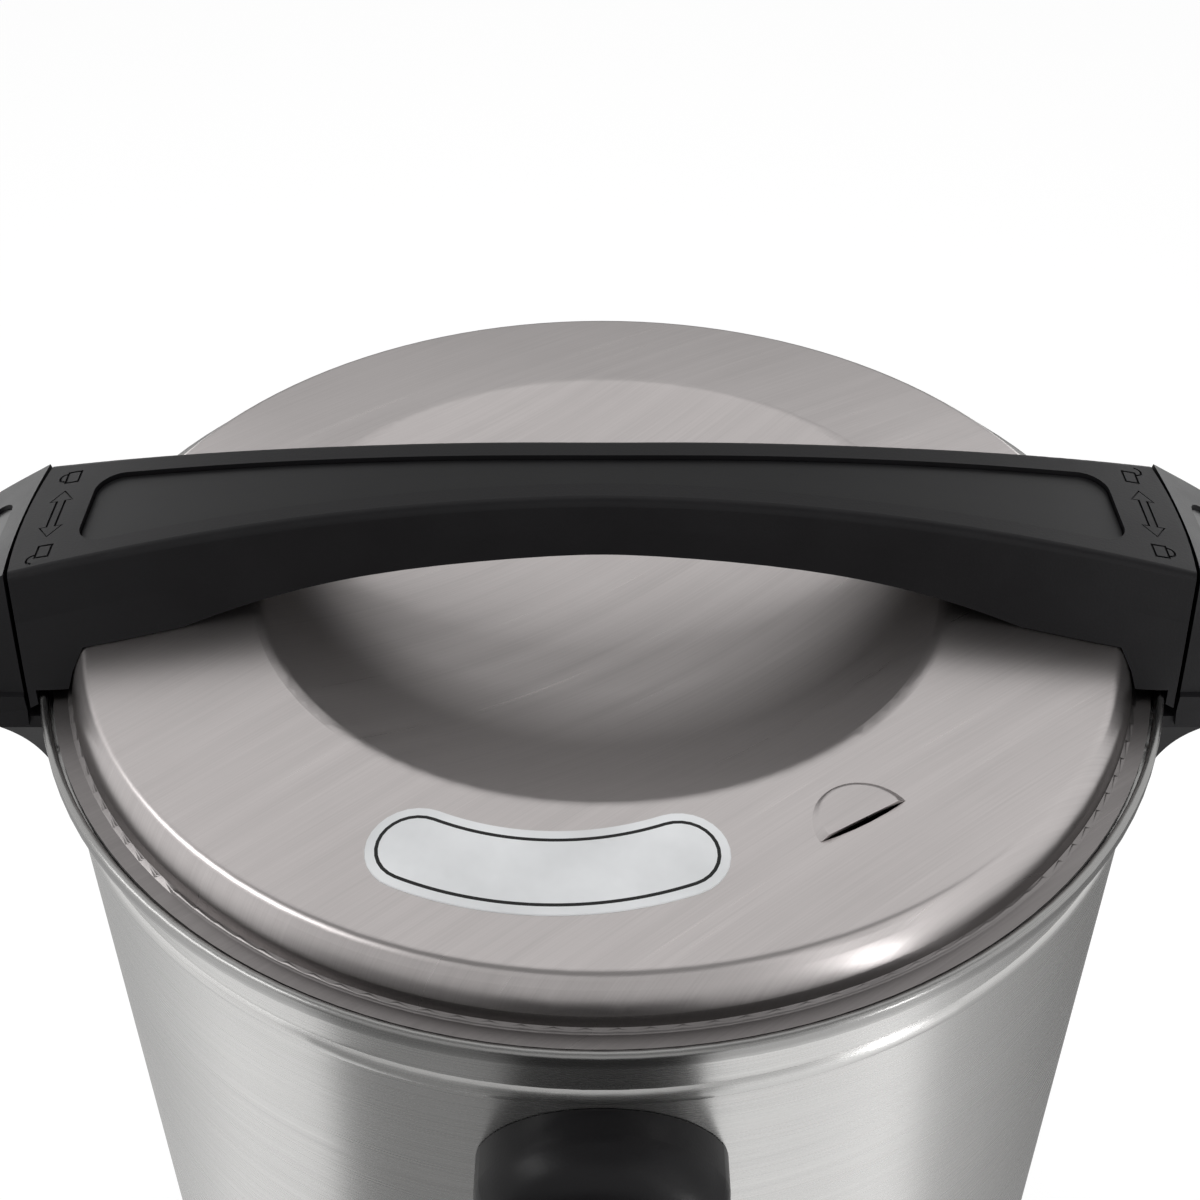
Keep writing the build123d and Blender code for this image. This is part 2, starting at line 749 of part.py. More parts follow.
with BuildPart() as lid_screws:
    head_top = foot_washer_top - foot_washer_sheet
    for side in (-1, 1):
        for step in (-1, 1):
            with Locations((side * foot_screw_reach, step * foot_screw_half, head_top)):
                Cylinder(
                    foot_screw_radius, foot_screw_length,
                    align=(Align.CENTER, Align.CENTER, Align.MIN),
                )
                Cylinder(
                    foot_screw_head, foot_screw_head_height,
                    align=(Align.CENTER, Align.CENTER, Align.MAX),
                )
    for side in (-1, 1):
        for step in (-1, 1):
            with BuildSketch(Plane.XY.offset(head_top - foot_screw_head_height)):
                with Locations((side * foot_screw_reach, step * foot_screw_half)):
                    RegularPolygon(hex_radius, 6)
            extrude(amount=hex_depth, mode=Mode.SUBTRACT)
lid_screws.part.label = "lid_screws"
export_step(lid_screws.part, "parts/lid_screws.step")

with BuildPart() as lid_washers:
    for side in (-1, 1):
        for step in (-1, 1):
            with Locations((side * foot_screw_reach, step * foot_screw_half, foot_washer_top)):
                Cylinder(
                    foot_washer_radius, foot_washer_sheet,
                    align=(Align.CENTER, Align.CENTER, Align.MAX),
                )
                Cylinder(foot_screw_radius + thread_gap, cut_through / 2, mode=Mode.SUBTRACT)
lid_washers.part.label = "lid_washers"
export_step(lid_washers.part, "parts/lid_washers.step")

# ---------------------------------------------------------------- side handles
# Sections of an ear: distance from the axis, half width of the top, half width and height of the
# crease, half width and height of the lower edge. Heights are above the rim.
ear_sections = (
    (handle_reach - 3.6, 23.2, 28.0, 15.5, 37.6, -8.0),
    (handle_reach + 8.4, 24.6, 29.8, 10.0, 36.8, -8.2),
    (handle_reach + 20.4, 26.6, 31.2, 3.5, 35.8, -9.6),
    (handle_reach + 32.4, 26.4, 30.6, -3.4, 33.6, -12.2),
    (ear_reach, 21.5, 25.0, -11.0, 27.0, -16.5),
)


def ear_top(x):
    """Height of an ear's top above the rim at a distance x from the axis."""
    out = x - handle_reach
    return handle_end_rise - ear_slope * out - ear_curl * out**2


def ear_band(high, low):
    """Sheet that follows the top of an ear between two depths below its surface."""
    with BuildSketch(Plane.XZ) as band:
        with BuildLine():
            stations = [side_inlay_inner - 3 + step * 6 for step in range(6)]
            for depth in (high, low):
                Spline(*[(x, rim_height + ear_top(x) - depth) for x in stations])
            for x in (stations[0], stations[-1]):
                Line((x, rim_height + ear_top(x) - high), (x, rim_height + ear_top(x) - low))
        make_face()
    extrude(band.sketch, amount=side_inlay_half + 5, both=True, mode=Mode.INTERSECT)


def side_inlay_outline(grow):
    """Outline of a side handle's inlay, grown by a gap on every side."""
    with Locations(((side_inlay_inner + side_inlay_outer) / 2, 0)):
        RectangleRounded(
            side_inlay_outer - side_inlay_inner + 2 * grow, 2 * (side_inlay_half + grow),
            side_inlay_corner + grow,
        )


with BuildPart() as side_pocket:
    with BuildSketch(Plane.XY.offset(rim_height - 40)):
        side_inlay_outline(inlay_gap)
    extrude(amount=100)
    ear_band(-3, inlay_recess + inlay_thickness + face_gap)

with BuildPart() as side_handle_right:
    for x, top_half, crease_half, crease, low_half, low in ear_sections:
        with BuildSketch(Plane.YZ.offset(x)):
            with BuildLine():
                Polyline(
                    *side_outline(top_half, ear_top(x), crease_half, crease, low_half, low),
                    close=True,
                )
            make_face()
    loft()
    fillet(faces().sort_by(Axis.X)[-1].edges(), ear_end_round)
    # bracket down the tank wall, narrowing to a round foot
    with BuildSketch(Plane.XZ):
        with BuildLine():
            foot = rim_height - bracket_drop
            sheet_end = (body_radius + 1.2, foot)
            ear_join = (bracket_mid, rim_height - 7.5)
            Spline(
                sheet_end, (handle_screw_seats[1] + 0.3, rim_height - 30),
                (handle_screw_seats[0] + 1.6, rim_height - 15), ear_join,
            )
            Polyline(
                ear_join, (bracket_mid, rim_height), (bracket_inner, rim_height),
                (bracket_inner, foot), sheet_end,
            )
        make_face()
    extrude(amount=bracket_half, both=True)
    with BuildSketch(Plane.YZ.offset(bracket_inner)) as side_shape:
        with BuildLine():
            wide = bracket_half + bracket_flare
            Polyline(
                (-wide, rim_height - 6), (-wide, rim_height + 60),
                (wide, rim_height + 60), (wide, rim_height - 6),
                (bracket_half, rim_height - 10), (bracket_foot_half, foot),
                (-bracket_foot_half, foot), (-bracket_half, rim_height - 10),
                close=True,
            )
        make_face()
        fillet(side_shape.vertices().group_by(Axis.Y)[0], bracket_round)
    extrude(amount=80, mode=Mode.INTERSECT)
    # clear of the lid handle's swing above, against the tank wall below
    with Locations((0, 0, rim_height - ledge_drop)):
        Cylinder(
            seam_radius, 80, align=(Align.CENTER, Align.CENTER, Align.MIN), mode=Mode.SUBTRACT
        )
    with Locations((0, 0, rim_height - ledge_drop)):
        Cylinder(
            body_radius + bead_proud + fit_gap, 80,
            align=(Align.CENTER, Align.CENTER, Align.MAX), mode=Mode.SUBTRACT,
        )
    # finger recess, open downwards
    with BuildSketch(Plane.XZ):
        with BuildLine():
            Polyline(
                (finger_inner, rim_height - 30), (finger_inner, rim_height + 7),
                (finger_outer - 14.5, rim_height + 2.5), (finger_outer - 2.5, rim_height - 7.5),
                (finger_outer, rim_height - 30), close=True,
            )
        make_face()
    extrude(amount=finger_half_width, both=True, mode=Mode.SUBTRACT)
    add(side_pocket.part, mode=Mode.SUBTRACT)
    for drop, seat in zip(handle_screw_drops, handle_screw_seats):
        with Locations((seat, 0, rim_height - drop)):
            Cylinder(
                handle_screw_head + 0.6, 12, rotation=(0, 90, 0),
                align=(Align.CENTER, Align.CENTER, Align.MIN), mode=Mode.SUBTRACT,
            )
            Cylinder(
                handle_screw_radius + fit_gap, 20, rotation=(0, 90, 0), mode=Mode.SUBTRACT
            )
side_handle_right.part.label = "side_handle_right"
export_step(side_handle_right.part, "parts/side_handle_right.step")

with BuildPart() as side_handle_left:
    add(mirror(side_handle_right.part, about=Plane.YZ, mode=Mode.PRIVATE))
side_handle_left.part.label = "side_handle_left"
export_step(side_handle_left.part, "parts/side_handle_left.step")

with BuildPart() as side_inlay_right:
    with BuildSketch(Plane.XY.offset(rim_height - 40)):
        side_inlay_outline(0)
    extrude(amount=100)
    ear_band(inlay_recess, inlay_recess + inlay_thickness)
side_inlay_right.part.label = "side_inlay_right"
export_step(side_inlay_right.part, "parts/side_inlay_right.step")

with BuildPart() as side_inlay_left:
    add(mirror(side_inlay_right.part, about=Plane.YZ, mode=Mode.PRIVATE))
side_inlay_left.part.label = "side_inlay_left"
export_step(side_inlay_left.part, "parts/side_inlay_left.step")

handle_spots = [
    (side, side * seat, rim_height - drop)
    for side in (-1, 1)
    for drop, seat in zip(handle_screw_drops, handle_screw_seats)
]
wall_inside = tank_radius - 2 * fit_gap
with BuildPart() as handle_screws:
    for side, seat, height in handle_spots:
        with BuildSketch(Plane.YZ.offset(seat)):
            with Locations((0, height)):
                Circle(handle_screw_head)
        extrude(amount=side * handle_screw_head_height)
        chamfer(faces().sort_by(Axis.X)[0 if side < 0 else -1].edges(), 0.8)
        with BuildSketch(Plane.YZ.offset(seat)):
            with Locations((0, height)):
                Circle(handle_screw_radius)
        extrude(amount=-side * (side * seat - wall_inside + handle_nut_height))
        with BuildSketch(Plane.YZ.offset(seat + side * handle_screw_head_height)):
            with Locations((0, height)):
                RegularPolygon(hex_radius, 6)
        extrude(amount=-side * hex_depth, mode=Mode.SUBTRACT)
handle_screws.part.label = "handle_screws"
export_step(handle_screws.part, "parts/handle_screws.step")

with BuildPart() as handle_seals:
    for side, seat, height in handle_spots:
        with BuildSketch(Plane.YZ.offset(side * wall_inside)):
            with Locations((0, height)):
                Circle(handle_seal_radius)
                Circle(handle_screw_radius + thread_gap, mode=Mode.SUBTRACT)
        extrude(amount=-side * handle_seal_sheet)
handle_seals.part.label = "handle_seals"
export_step(handle_seals.part, "parts/handle_seals.step")

with BuildPart() as handle_nuts:
    for side, seat, height in handle_spots:
        nut_plane = Plane.YZ.offset(side * (wall_inside - handle_seal_sheet - face_gap))
        with BuildSketch(nut_plane):
            with Locations((0, height)):
                RegularPolygon(handle_nut_radius, 6)
        extrude(amount=-side * handle_nut_height)
        with BuildSketch(nut_plane):
            with Locations((0, height)):
                Circle(handle_screw_radius + thread_gap)
        extrude(amount=-side * (handle_nut_height - 1.2), mode=Mode.SUBTRACT)
handle_nuts.part.label = "handle_nuts"
export_step(handle_nuts.part, "parts/handle_nuts.step")

# ---------------------------------------------------------------- gauge column
column_face = body_radius + column_depth
column_crown = rim_height - column_top_drop
arch_centre = column_crown - column_arch
column_shoulder = arch_centre + sqrt(column_arch**2 - column_half**2)
column_skin = 2.0
column_sink = 6.0
slide_gap = 0.3
cavity_half = 12.5
cavity_low = tap_height - 13.0
cavity_high = arch_centre - 4.0
cavity_face = column_face - column_skin
tube_reach = body_radius + tube_standoff


def rod(spot, length, radius, mode=Mode.ADD):
    """Round bar from a point straight towards the front."""
    with Locations(spot):
        Cylinder(
            radius, length, rotation=(90, 0, 0),
            align=(Align.CENTER, Align.CENTER, Align.MIN), mode=mode,
        )


with BuildPart() as gauge_column:
    with BuildSketch(Plane.XZ.offset(body_radius - column_sink)) as outline:
        with BuildLine():
            ThreePointArc(
                (-column_half, column_shoulder), (0, column_crown), (column_half, column_shoulder)
            )
            Polyline(
                (column_half, column_shoulder), (column_half, column_foot),
                (-column_half, column_foot), (-column_half, column_shoulder),
            )
        make_face()
        fillet(outline.vertices().group_by(Axis.Y)[0], column_corner)
        fillet(outline.vertices().group_by(Axis.Y)[-1], column_corner)
    extrude(amount=column_depth + column_sink)
    fillet(faces().sort_by(Axis.Y)[0].edges(), column_round)
    Cylinder(
        body_radius + fit_gap, rim_height, align=(Align.CENTER, Align.CENTER, Align.MIN),
        mode=Mode.SUBTRACT,
    )
    with Locations((0, -cavity_face, (cavity_low + cavity_high) / 2)):
        Box(
            2 * cavity_half, 2 * column_depth, cavity_high - cavity_low,
            align=(Align.CENTER, Align.MIN, Align.CENTER), mode=Mode.SUBTRACT,
        )
    rod((0, front, tap_height), cut_through, shank_radius + fit_gap, Mode.SUBTRACT)
    with BuildSketch(Plane.XZ.offset(column_face - 2 * column_skin)):
        with Locations((0, (window_low + window_high) / 2)):
            SlotOverall(window_high - window_low, 2 * window_half, rotation=90)
    extrude(amount=3 * column_skin, mode=Mode.SUBTRACT)
    rod((0, front, arch_centre), 12, column_screw_radius + thread_gap, Mode.SUBTRACT)
gauge_column.part.label = "gauge_column"
export_step(gauge_column.part, "parts/gauge_column.step")

with BuildPart() as level_scale:
    with Locations((0, -body_radius - 0.5, window_low - 7)):
        Box(
            2 * (cavity_half - slide_gap), scale_sheet, window_high - window_low + 16,
            align=(Align.CENTER, Align.MAX, Align.MIN),
        )
level_scale.part.label = "level_scale"
export_step(level_scale.part, "parts/level_scale.step")

with BuildPart() as sight_tube:
    with Locations((0, -tube_reach, tube_low)):
        Cylinder(tube_radius, tube_high - tube_low, align=(Align.CENTER, Align.CENTER, Align.MIN))
        Cylinder(
            tube_bore, tube_high - tube_low, align=(Align.CENTER, Align.CENTER, Align.MIN),
            mode=Mode.SUBTRACT,
        )
sight_tube.part.label = "sight_tube"
export_step(sight_tube.part, "parts/sight_tube.step")

tube_socket = tube_radius + 0.15
cap_height = 9.0
with BuildPart() as tube_cap:
    with Locations((0, -cavity_face + fit_gap, tube_high - 2)):
        Box(
            2 * (cavity_half - slide_gap), cavity_face - body_radius - 1.2, cap_height,
            align=(Align.CENTER, Align.MIN, Align.MIN),
        )
    with Locations((0, -tube_reach, tube_high + fit_gap)):
        Cylinder(
            tube_socket, cap_height, align=(Align.CENTER, Align.CENTER, Align.MAX), mode=Mode.SUBTRACT
        )
        Cylinder(1.2, cut_through, mode=Mode.SUBTRACT)
tube_cap.part.label = "tube_cap"
export_step(tube_cap.part, "parts/tube_cap.step")

tee_low = tap_height - 11.0
with BuildPart() as gauge_tee:
    with Locations((0, -cavity_face + fit_gap, tee_low)):
        Box(
            2 * cavity_half - 3, cavity_face - body_radius - 0.7, tube_low + 6 - tee_low,
            align=(Align.CENTER, Align.MIN, Align.MIN),
        )
    rod((0, front + column_sink, tap_height), cut_through, shank_radius + face_gap, Mode.SUBTRACT)
    with Locations((0, -tube_reach, tube_low - fit_gap)):
        Cylinder(
            tube_socket, cut_through, align=(Align.CENTER, Align.CENTER, Align.MIN), mode=Mode.SUBTRACT
        )
        Cylinder(feed_radius + 0.5, 12, align=(Align.CENTER, Align.CENTER, Align.MAX), mode=Mode.SUBTRACT)
gauge_tee.part.label = "gauge_tee"
export_step(gauge_tee.part, "parts/gauge_tee.step")

column_seal_sheet = 1.2
screw_head_height = 2.4
with BuildPart() as column_screw:
    head_seat = -wall_inside + column_seal_sheet + face_gap
    rod((0, head_seat, arch_centre), 13, column_screw_radius)
    rod((0, head_seat + screw_head_height, arch_centre), screw_head_height, 2 * column_screw_radius)
    with BuildSketch(Plane.XZ.offset(-head_seat - screw_head_height)):
        with Locations((0, arch_centre)):
            RegularPolygon(hex_radius, 6)
    extrude(amount=hex_depth, mode=Mode.SUBTRACT)
column_screw.part.label = "column_screw"
export_step(column_screw.part, "parts/column_screw.step")

with BuildPart() as column_seal:
    rod((0, -wall_inside + column_seal_sheet + thread_gap, arch_centre), column_seal_sheet, 5.5)
    rod((0, -wall_inside + 5, arch_centre), 10, column_screw_radius + thread_gap, Mode.SUBTRACT)
column_seal.part.label = "column_seal"
export_step(column_seal.part, "parts/column_seal.step")

# ---------------------------------------------------------------- tap
washer_sheet = 1.5
washer_radius = 13.0
washer_seat = sqrt(tank_radius**2 - washer_radius**2) - face_gap
shank_end = body_radius - 12.6
flange_back = column_face + washer_sheet + face_gap
flange_sheet = 4.0
with BuildPart() as tap_body:
    rod((0, -shank_end, tap_height), flange_back - shank_end + 1, shank_radius)
    rod((0, -flange_back, tap_height), flange_sheet, barrel_radius)
    rod((0, -flange_back, tap_height), tap_reach - flange_back, arm_radius)
    with Locations((0, -tap_reach, barrel_low)):
        Cylinder(
            barrel_radius, barrel_high - barrel_low, align=(Align.CENTER, Align.CENTER, Align.MIN)
        )
    with Locations((0, -tap_reach, barrel_low)):
        Cone(
            spout_radius, barrel_radius, spout_taper, align=(Align.CENTER, Align.CENTER, Align.MAX)
        )
    with Locations((0, -tap_reach, barrel_low - spout_taper)):
        Cylinder(
            spout_radius, barrel_low - spout_taper - spout_low, align=(Align.CENTER, Align.CENTER, Align.MAX)
        )
    with Locations((0, -tap_reach, seat_height)):
        Cylinder(
            barrel_bore, cut_through, align=(Align.CENTER, Align.CENTER, Align.MIN), mode=Mode.SUBTRACT
        )
        Cylinder(
            spout_bore, cut_through, align=(Align.CENTER, Align.CENTER, Align.MAX), mode=Mode.SUBTRACT
        )
    rod((0, -shank_end + 1, tap_height), tap_reach - shank_end, shank_bore, Mode.SUBTRACT)
    # cross hole that feeds the sight tube
    with Locations((0, -tube_reach, tap_height)):
        Cylinder(
            feed_radius, shank_radius + 2, align=(Align.CENTER, Align.CENTER, Align.MIN),
            mode=Mode.SUBTRACT,
        )
tap_body.part.label = "tap_body"
export_step(tap_body.part, "parts/tap_body.step")

with BuildPart() as tap_washers:
    for reach in (washer_seat - washer_sheet, column_face + thread_gap):
        rod((0, -reach, tap_height), washer_sheet, washer_radius)
    rod((0, -shank_end, tap_height), cut_through, shank_radius + face_gap, Mode.SUBTRACT)
tap_washers.part.label = "tap_washers"
export_step(tap_washers.part, "parts/tap_washers.step")

nut_thickness = 7.0
nut_flat = 26.0
with BuildPart() as tap_nut:
    with BuildSketch(Plane.XZ.offset(washer_seat - washer_sheet - nut_thickness - thread_gap)):
        with Locations((0, tap_height)):
            RegularPolygon(nut_flat / 2 / cos(radians(30)), 6)
            Circle(shank_radius + thread_gap, mode=Mode.SUBTRACT)
    extrude(amount=nut_thickness)
tap_nut.part.label = "tap_nut"
export_step(tap_nut.part, "parts/tap_nut.step")

bonnet_sheet = 5.0
bonnet_plug = 5.0
pin_reach = tap_reach + lever_arm
hub_radius = 4.6
hub_half = 6.7
ear_half = 7.0
ear_sheet = 3.0
with BuildPart() as tap_bonnet:
    with Locations((0, -tap_reach, barrel_high + thread_gap)):
        Cylinder(
            barrel_radius + 1.5, bonnet_sheet, align=(Align.CENTER, Align.CENTER, Align.MIN)
        )
    fillet(faces().sort_by(Axis.Z)[-1].edges(), 1.5)
    with Locations((0, -tap_reach, barrel_high + thread_gap)):
        Cylinder(
            barrel_bore - face_gap, bonnet_plug, align=(Align.CENTER, Align.CENTER, Align.MAX)
        )
    for side in (-1, 1):
        with Locations((side * (ear_half + ear_sheet / 2), -pin_reach, lever_pin_height)):
            Cylinder(hub_radius, ear_sheet, rotation=(0, 90, 0))
            Box(
                ear_sheet, 2 * hub_radius, lever_pin_height - barrel_high - 2,
                align=(Align.CENTER, Align.CENTER, Align.MAX),
            )
            Cylinder(lever_pin_radius + thread_gap, 3 * ear_sheet, rotation=(0, 90, 0), mode=Mode.SUBTRACT)
    with Locations((0, -tap_reach, barrel_high)):
        Cylinder(stem_radius + running_gap, 4 * bonnet_sheet, mode=Mode.SUBTRACT)
tap_bonnet.part.label = "tap_bonnet"
export_step(tap_bonnet.part, "parts/tap_bonnet.step")

with BuildPart() as lever_pin:
    with Locations((0, -pin_reach, lever_pin_height)):
        Cylinder(lever_pin_radius, 2 * (ear_half + ear_sheet + 1), rotation=(0, 90, 0))
    chamfer(edges().filter_by(GeomType.CIRCLE), 0.4)
lever_pin.part.label = "lever_pin"
export_step(lever_pin.part, "parts/lever_pin.step")

stem_head = 4.8
stem_head_height = 3.0
with BuildPart() as tap_stem:
    with Locations((0, -tap_reach, seat_height + 2)):
        Cylinder(
            stem_radius, lever_pin_height - seat_height,
            align=(Align.CENTER, Align.CENTER, Align.MIN),
        )
    with Locations((0, -tap_reach, lever_pin_height)):
        Cylinder(stem_head, stem_head_height, align=(Align.CENTER, Align.CENTER, Align.MIN))
    fillet(faces().sort_by(Axis.Z)[-1].edges(), 1.0)
tap_stem.part.label = "tap_stem"
export_step(tap_stem.part, "parts/tap_stem.step")

cup_height = 8.0
with BuildPart() as seat_cup:
    with Locations((0, -tap_reach, seat_height + fit_gap)):
        Cylinder(barrel_bore - 1, cup_height, align=(Align.CENTER, Align.CENTER, Align.MIN))
        fillet(faces().sort_by(Axis.Z)[0].edges(), 1.5)
        Cylinder(
            stem_radius + thread_gap, 2 * cup_height, align=(Align.CENTER, Align.CENTER, Align.MIN),
            mode=Mode.SUBTRACT,
        )
seat_cup.part.label = "seat_cup"
export_step(seat_cup.part, "parts/seat_cup.step")

spring_wire = 0.7
spring_coils = 5.5
spring_radius = 5.2
spring_low = seat_height + fit_gap + cup_height + spring_wire + face_gap
spring_high = barrel_high - bonnet_plug - spring_wire - face_gap
with BuildPart() as tap_spring:
    with BuildLine() as coil:
        Helix(
            pitch=(spring_high - spring_low) / spring_coils,
            height=spring_high - spring_low,
            radius=spring_radius,
            center=(0, -tap_reach, spring_low),
        )
    with BuildSketch(Plane(origin=coil.line @ 0, z_dir=coil.line % 0)):
        Circle(spring_wire)
    sweep()
tap_spring.part.label = "tap_spring"
export_step(tap_spring.part, "parts/tap_spring.step")

paddle_foot_half = 6.0
paddle_half = 12.0
paddle_thickness = 7.0
prong_drop = 0.8
prong_thickness = 3.0
prong_middle = 5.0
paddle_neck = 12.0          # pin to where the paddle starts to widen
paddle_blade = 22.0         # length of its widest part
with BuildPart() as tap_lever:
    with BuildSketch(Plane.XZ.offset(pin_reach - paddle_thickness / 2)) as paddle:
        with BuildLine():
            Polyline(
                (-paddle_foot_half, lever_pin_height), (-paddle_foot_half, lever_pin_height + paddle_neck),
                (-paddle_half, lever_top - paddle_blade), (-paddle_half, lever_top),
                (paddle_half, lever_top),
                (paddle_half, lever_top - paddle_blade), (paddle_foot_half, lever_pin_height + paddle_neck),
                (paddle_foot_half, lever_pin_height), close=True,
            )
        make_face()
        fillet(paddle.vertices().group_by(Axis.Y)[-1], 10)
        fillet(paddle.vertices().group_by(Axis.Y)[1], 12)
    extrude(amount=paddle_thickness)
    rims = faces().sort_by(Axis.Y)[0].edges() + faces().sort_by(Axis.Y)[-1].edges()
    fillet(rims.filter_by(lambda e: e.center().Z > lever_pin_height + 3), 2.2)
    with Locations((0, -pin_reach, lever_pin_height)):
        Cylinder(hub_radius, 2 * hub_half, rotation=(0, 90, 0))
    for side in (-1, 1):
        with Locations((side * prong_middle, -pin_reach, lever_pin_height - prong_drop)):
            Box(
                prong_thickness, lever_arm + 1, prong_thickness,
                align=(Align.CENTER, Align.MIN, Align.MAX),
            )
    with Locations((0, -pin_reach, lever_pin_height)):
        Cylinder(
            lever_pin_radius + pin_gap, 4 * hub_half, rotation=(0, 90, 0), mode=Mode.SUBTRACT
        )
tap_lever.part.label = "tap_lever"
export_step(tap_lever.part, "parts/tap_lever.step")

# ---------------------------------------------------------------- brewing set
collar_radius = 9.0
collar_height = 3.0
tube_lip = well_floor + 4.8
lip_sheet = 1.0
bell_sheet = 1.2
bell_low = well_floor + 0.4
bell_high = floor_height + 5.0
with BuildPart() as pump_tube:
    with Locations((0, 0, tube_lip)):
        Cylinder(
            pump_tube_radius, pump_tube_top - tube_lip,
            align=(Align.CENTER, Align.CENTER, Align.MIN),
        )
        Cylinder(pump_tube_radius + 1.8, lip_sheet, align=(Align.CENTER, Align.CENTER, Align.MIN))
    with Locations((0, 0, basket_low - fit_gap)):
        Cylinder(collar_radius, collar_height, align=(Align.CENTER, Align.CENTER, Align.MAX))
    with Locations((0, 0, tube_lip)):
        Cylinder(
            pump_tube_bore, rim_height, align=(Align.CENTER, Align.CENTER, Align.MIN),
            mode=Mode.SUBTRACT,
        )
pump_tube.part.label = "pump_tube"
export_step(pump_tube.part, "parts/pump_tube.step")

with BuildPart() as pump_foot:
    with BuildSketch(Plane.XZ):
        with BuildLine():
            neck = pump_tube_radius + thread_gap
            Polyline(
                (pump_foot_radius, bell_low),
                (neck + bell_sheet, bell_high),
                (neck + bell_sheet, bell_high + bell_neck),
                (neck, bell_high + bell_neck),
                (neck, bell_high - bell_sheet),
                (pump_foot_radius - 2 * bell_sheet, bell_low),
                close=True,
            )
        make_face()
    revolve(axis=Axis.Z)
    # notches that let the brewing water in under the bell
    for angle in range(0, 180, 45):
        with Locations(Location((0, 0, bell_low), (0, 0, angle))):
            Box(2 * pump_foot_radius + 4, 5, 2.4, mode=Mode.SUBTRACT)
pump_foot.part.label = "pump_foot"
export_step(pump_foot.part, "parts/pump_foot.step")

with BuildPart() as pump_valve:
    with Locations((0, 0, tube_lip + lip_sheet + thread_gap)):
        Cylinder(valve_radius, valve_sheet, align=(Align.CENTER, Align.CENTER, Align.MIN))
        Cylinder(pump_tube_radius + valve_gap, 4, mode=Mode.SUBTRACT)
pump_valve.part.label = "pump_valve"
export_step(pump_valve.part, "parts/pump_valve.step")

sleeve_high = basket_low + sleeve_length
drain_radius = 1.6
drain_rings = ((22.0, 12), (40.0, 20), (58.0, 28), (71.0, 32))
with BuildPart() as coffee_basket:
    with BuildSketch(Plane.XZ):
        with BuildLine():
            sleeve_inner = pump_tube_radius + slide_gap
            Polyline(
                (sleeve_inner, basket_low),
                (basket_radius - 2, basket_low),
                (basket_radius, basket_low + 2),
                (basket_radius, basket_high),
                (basket_radius - basket_sheet, basket_high),
                (basket_radius - basket_sheet, basket_low + 2.4),
                (basket_radius - 2.4, basket_low + basket_sheet),
                (sleeve_radius, basket_low + basket_sheet),
                (sleeve_radius, sleeve_high),
                (sleeve_inner, sleeve_high),
                close=True,
            )
        make_face()
    revolve(axis=Axis.Z)
    for ring, count in drain_rings:
        with Locations((0, 0, basket_low)):
            with PolarLocations(ring, count):
                Cylinder(drain_radius, 4 * basket_sheet, mode=Mode.SUBTRACT)
coffee_basket.part.label = "coffee_basket"
export_step(coffee_basket.part, "parts/coffee_basket.step")

spreader_low = basket_high + fit_gap
spreader_edge = basket_radius + 2.2
with BuildPart() as basket_spreader:
    with BuildSketch(Plane.XZ):
        with BuildLine():
            Polyline(
                (pump_tube_radius + spreader_hole_gap, spreader_low),
                (spreader_edge - basket_sheet, spreader_low),
                (spreader_edge - basket_sheet, spreader_low - spreader_skirt),
                (spreader_edge, spreader_low - spreader_skirt),
                (spreader_edge, spreader_low + basket_sheet),
                (pump_tube_radius + spreader_hole_gap, spreader_low + basket_sheet),
                close=True,
            )
        make_face()
    revolve(axis=Axis.Z)
    for ring, count in drain_rings:
        with Locations((0, 0, spreader_low)):
            with PolarLocations(ring, count):
                Cylinder(drain_radius, 4 * basket_sheet, mode=Mode.SUBTRACT)
basket_spreader.part.label = "basket_spreader"
export_step(basket_spreader.part, "parts/basket_spreader.step")

# ---------------------------------------------------------------- base
base_inner = base_radius - base_wall
lip_inner = body_radius + slide_gap
ledge_high = base_ledge - fit_gap
boss_ring = base_radius - 12.0
boss_radius = 5.0
boss_angles = (22, 158, 202, 338)
plate_high = plate_low + plate_sheet
panel_window_half = panel_half - 3.0
panel_window_low = panel_low + 3.0
panel_window_high = panel_high - 3.0
inlet_window_half = inlet_half - 4.0
inlet_window_low = inlet_low + 3.0
inlet_window_high = inlet_high - 3.0


def at_ring(ring, angle, height):
    """Point on a circle about the urn's axis."""
    return (ring * cos(radians(angle)), ring * sin(radians(angle)), height)


def block(x_half, y_from, y_to, z_from, z_to, mode=Mode.ADD):
    """Box symmetrical about the urn's middle plane."""
    with Locations((0, (y_from + y_to) / 2, (z_from + z_to) / 2)):
        Box(2 * x_half, abs(y_to - y_from), z_to - z_from, mode=mode)


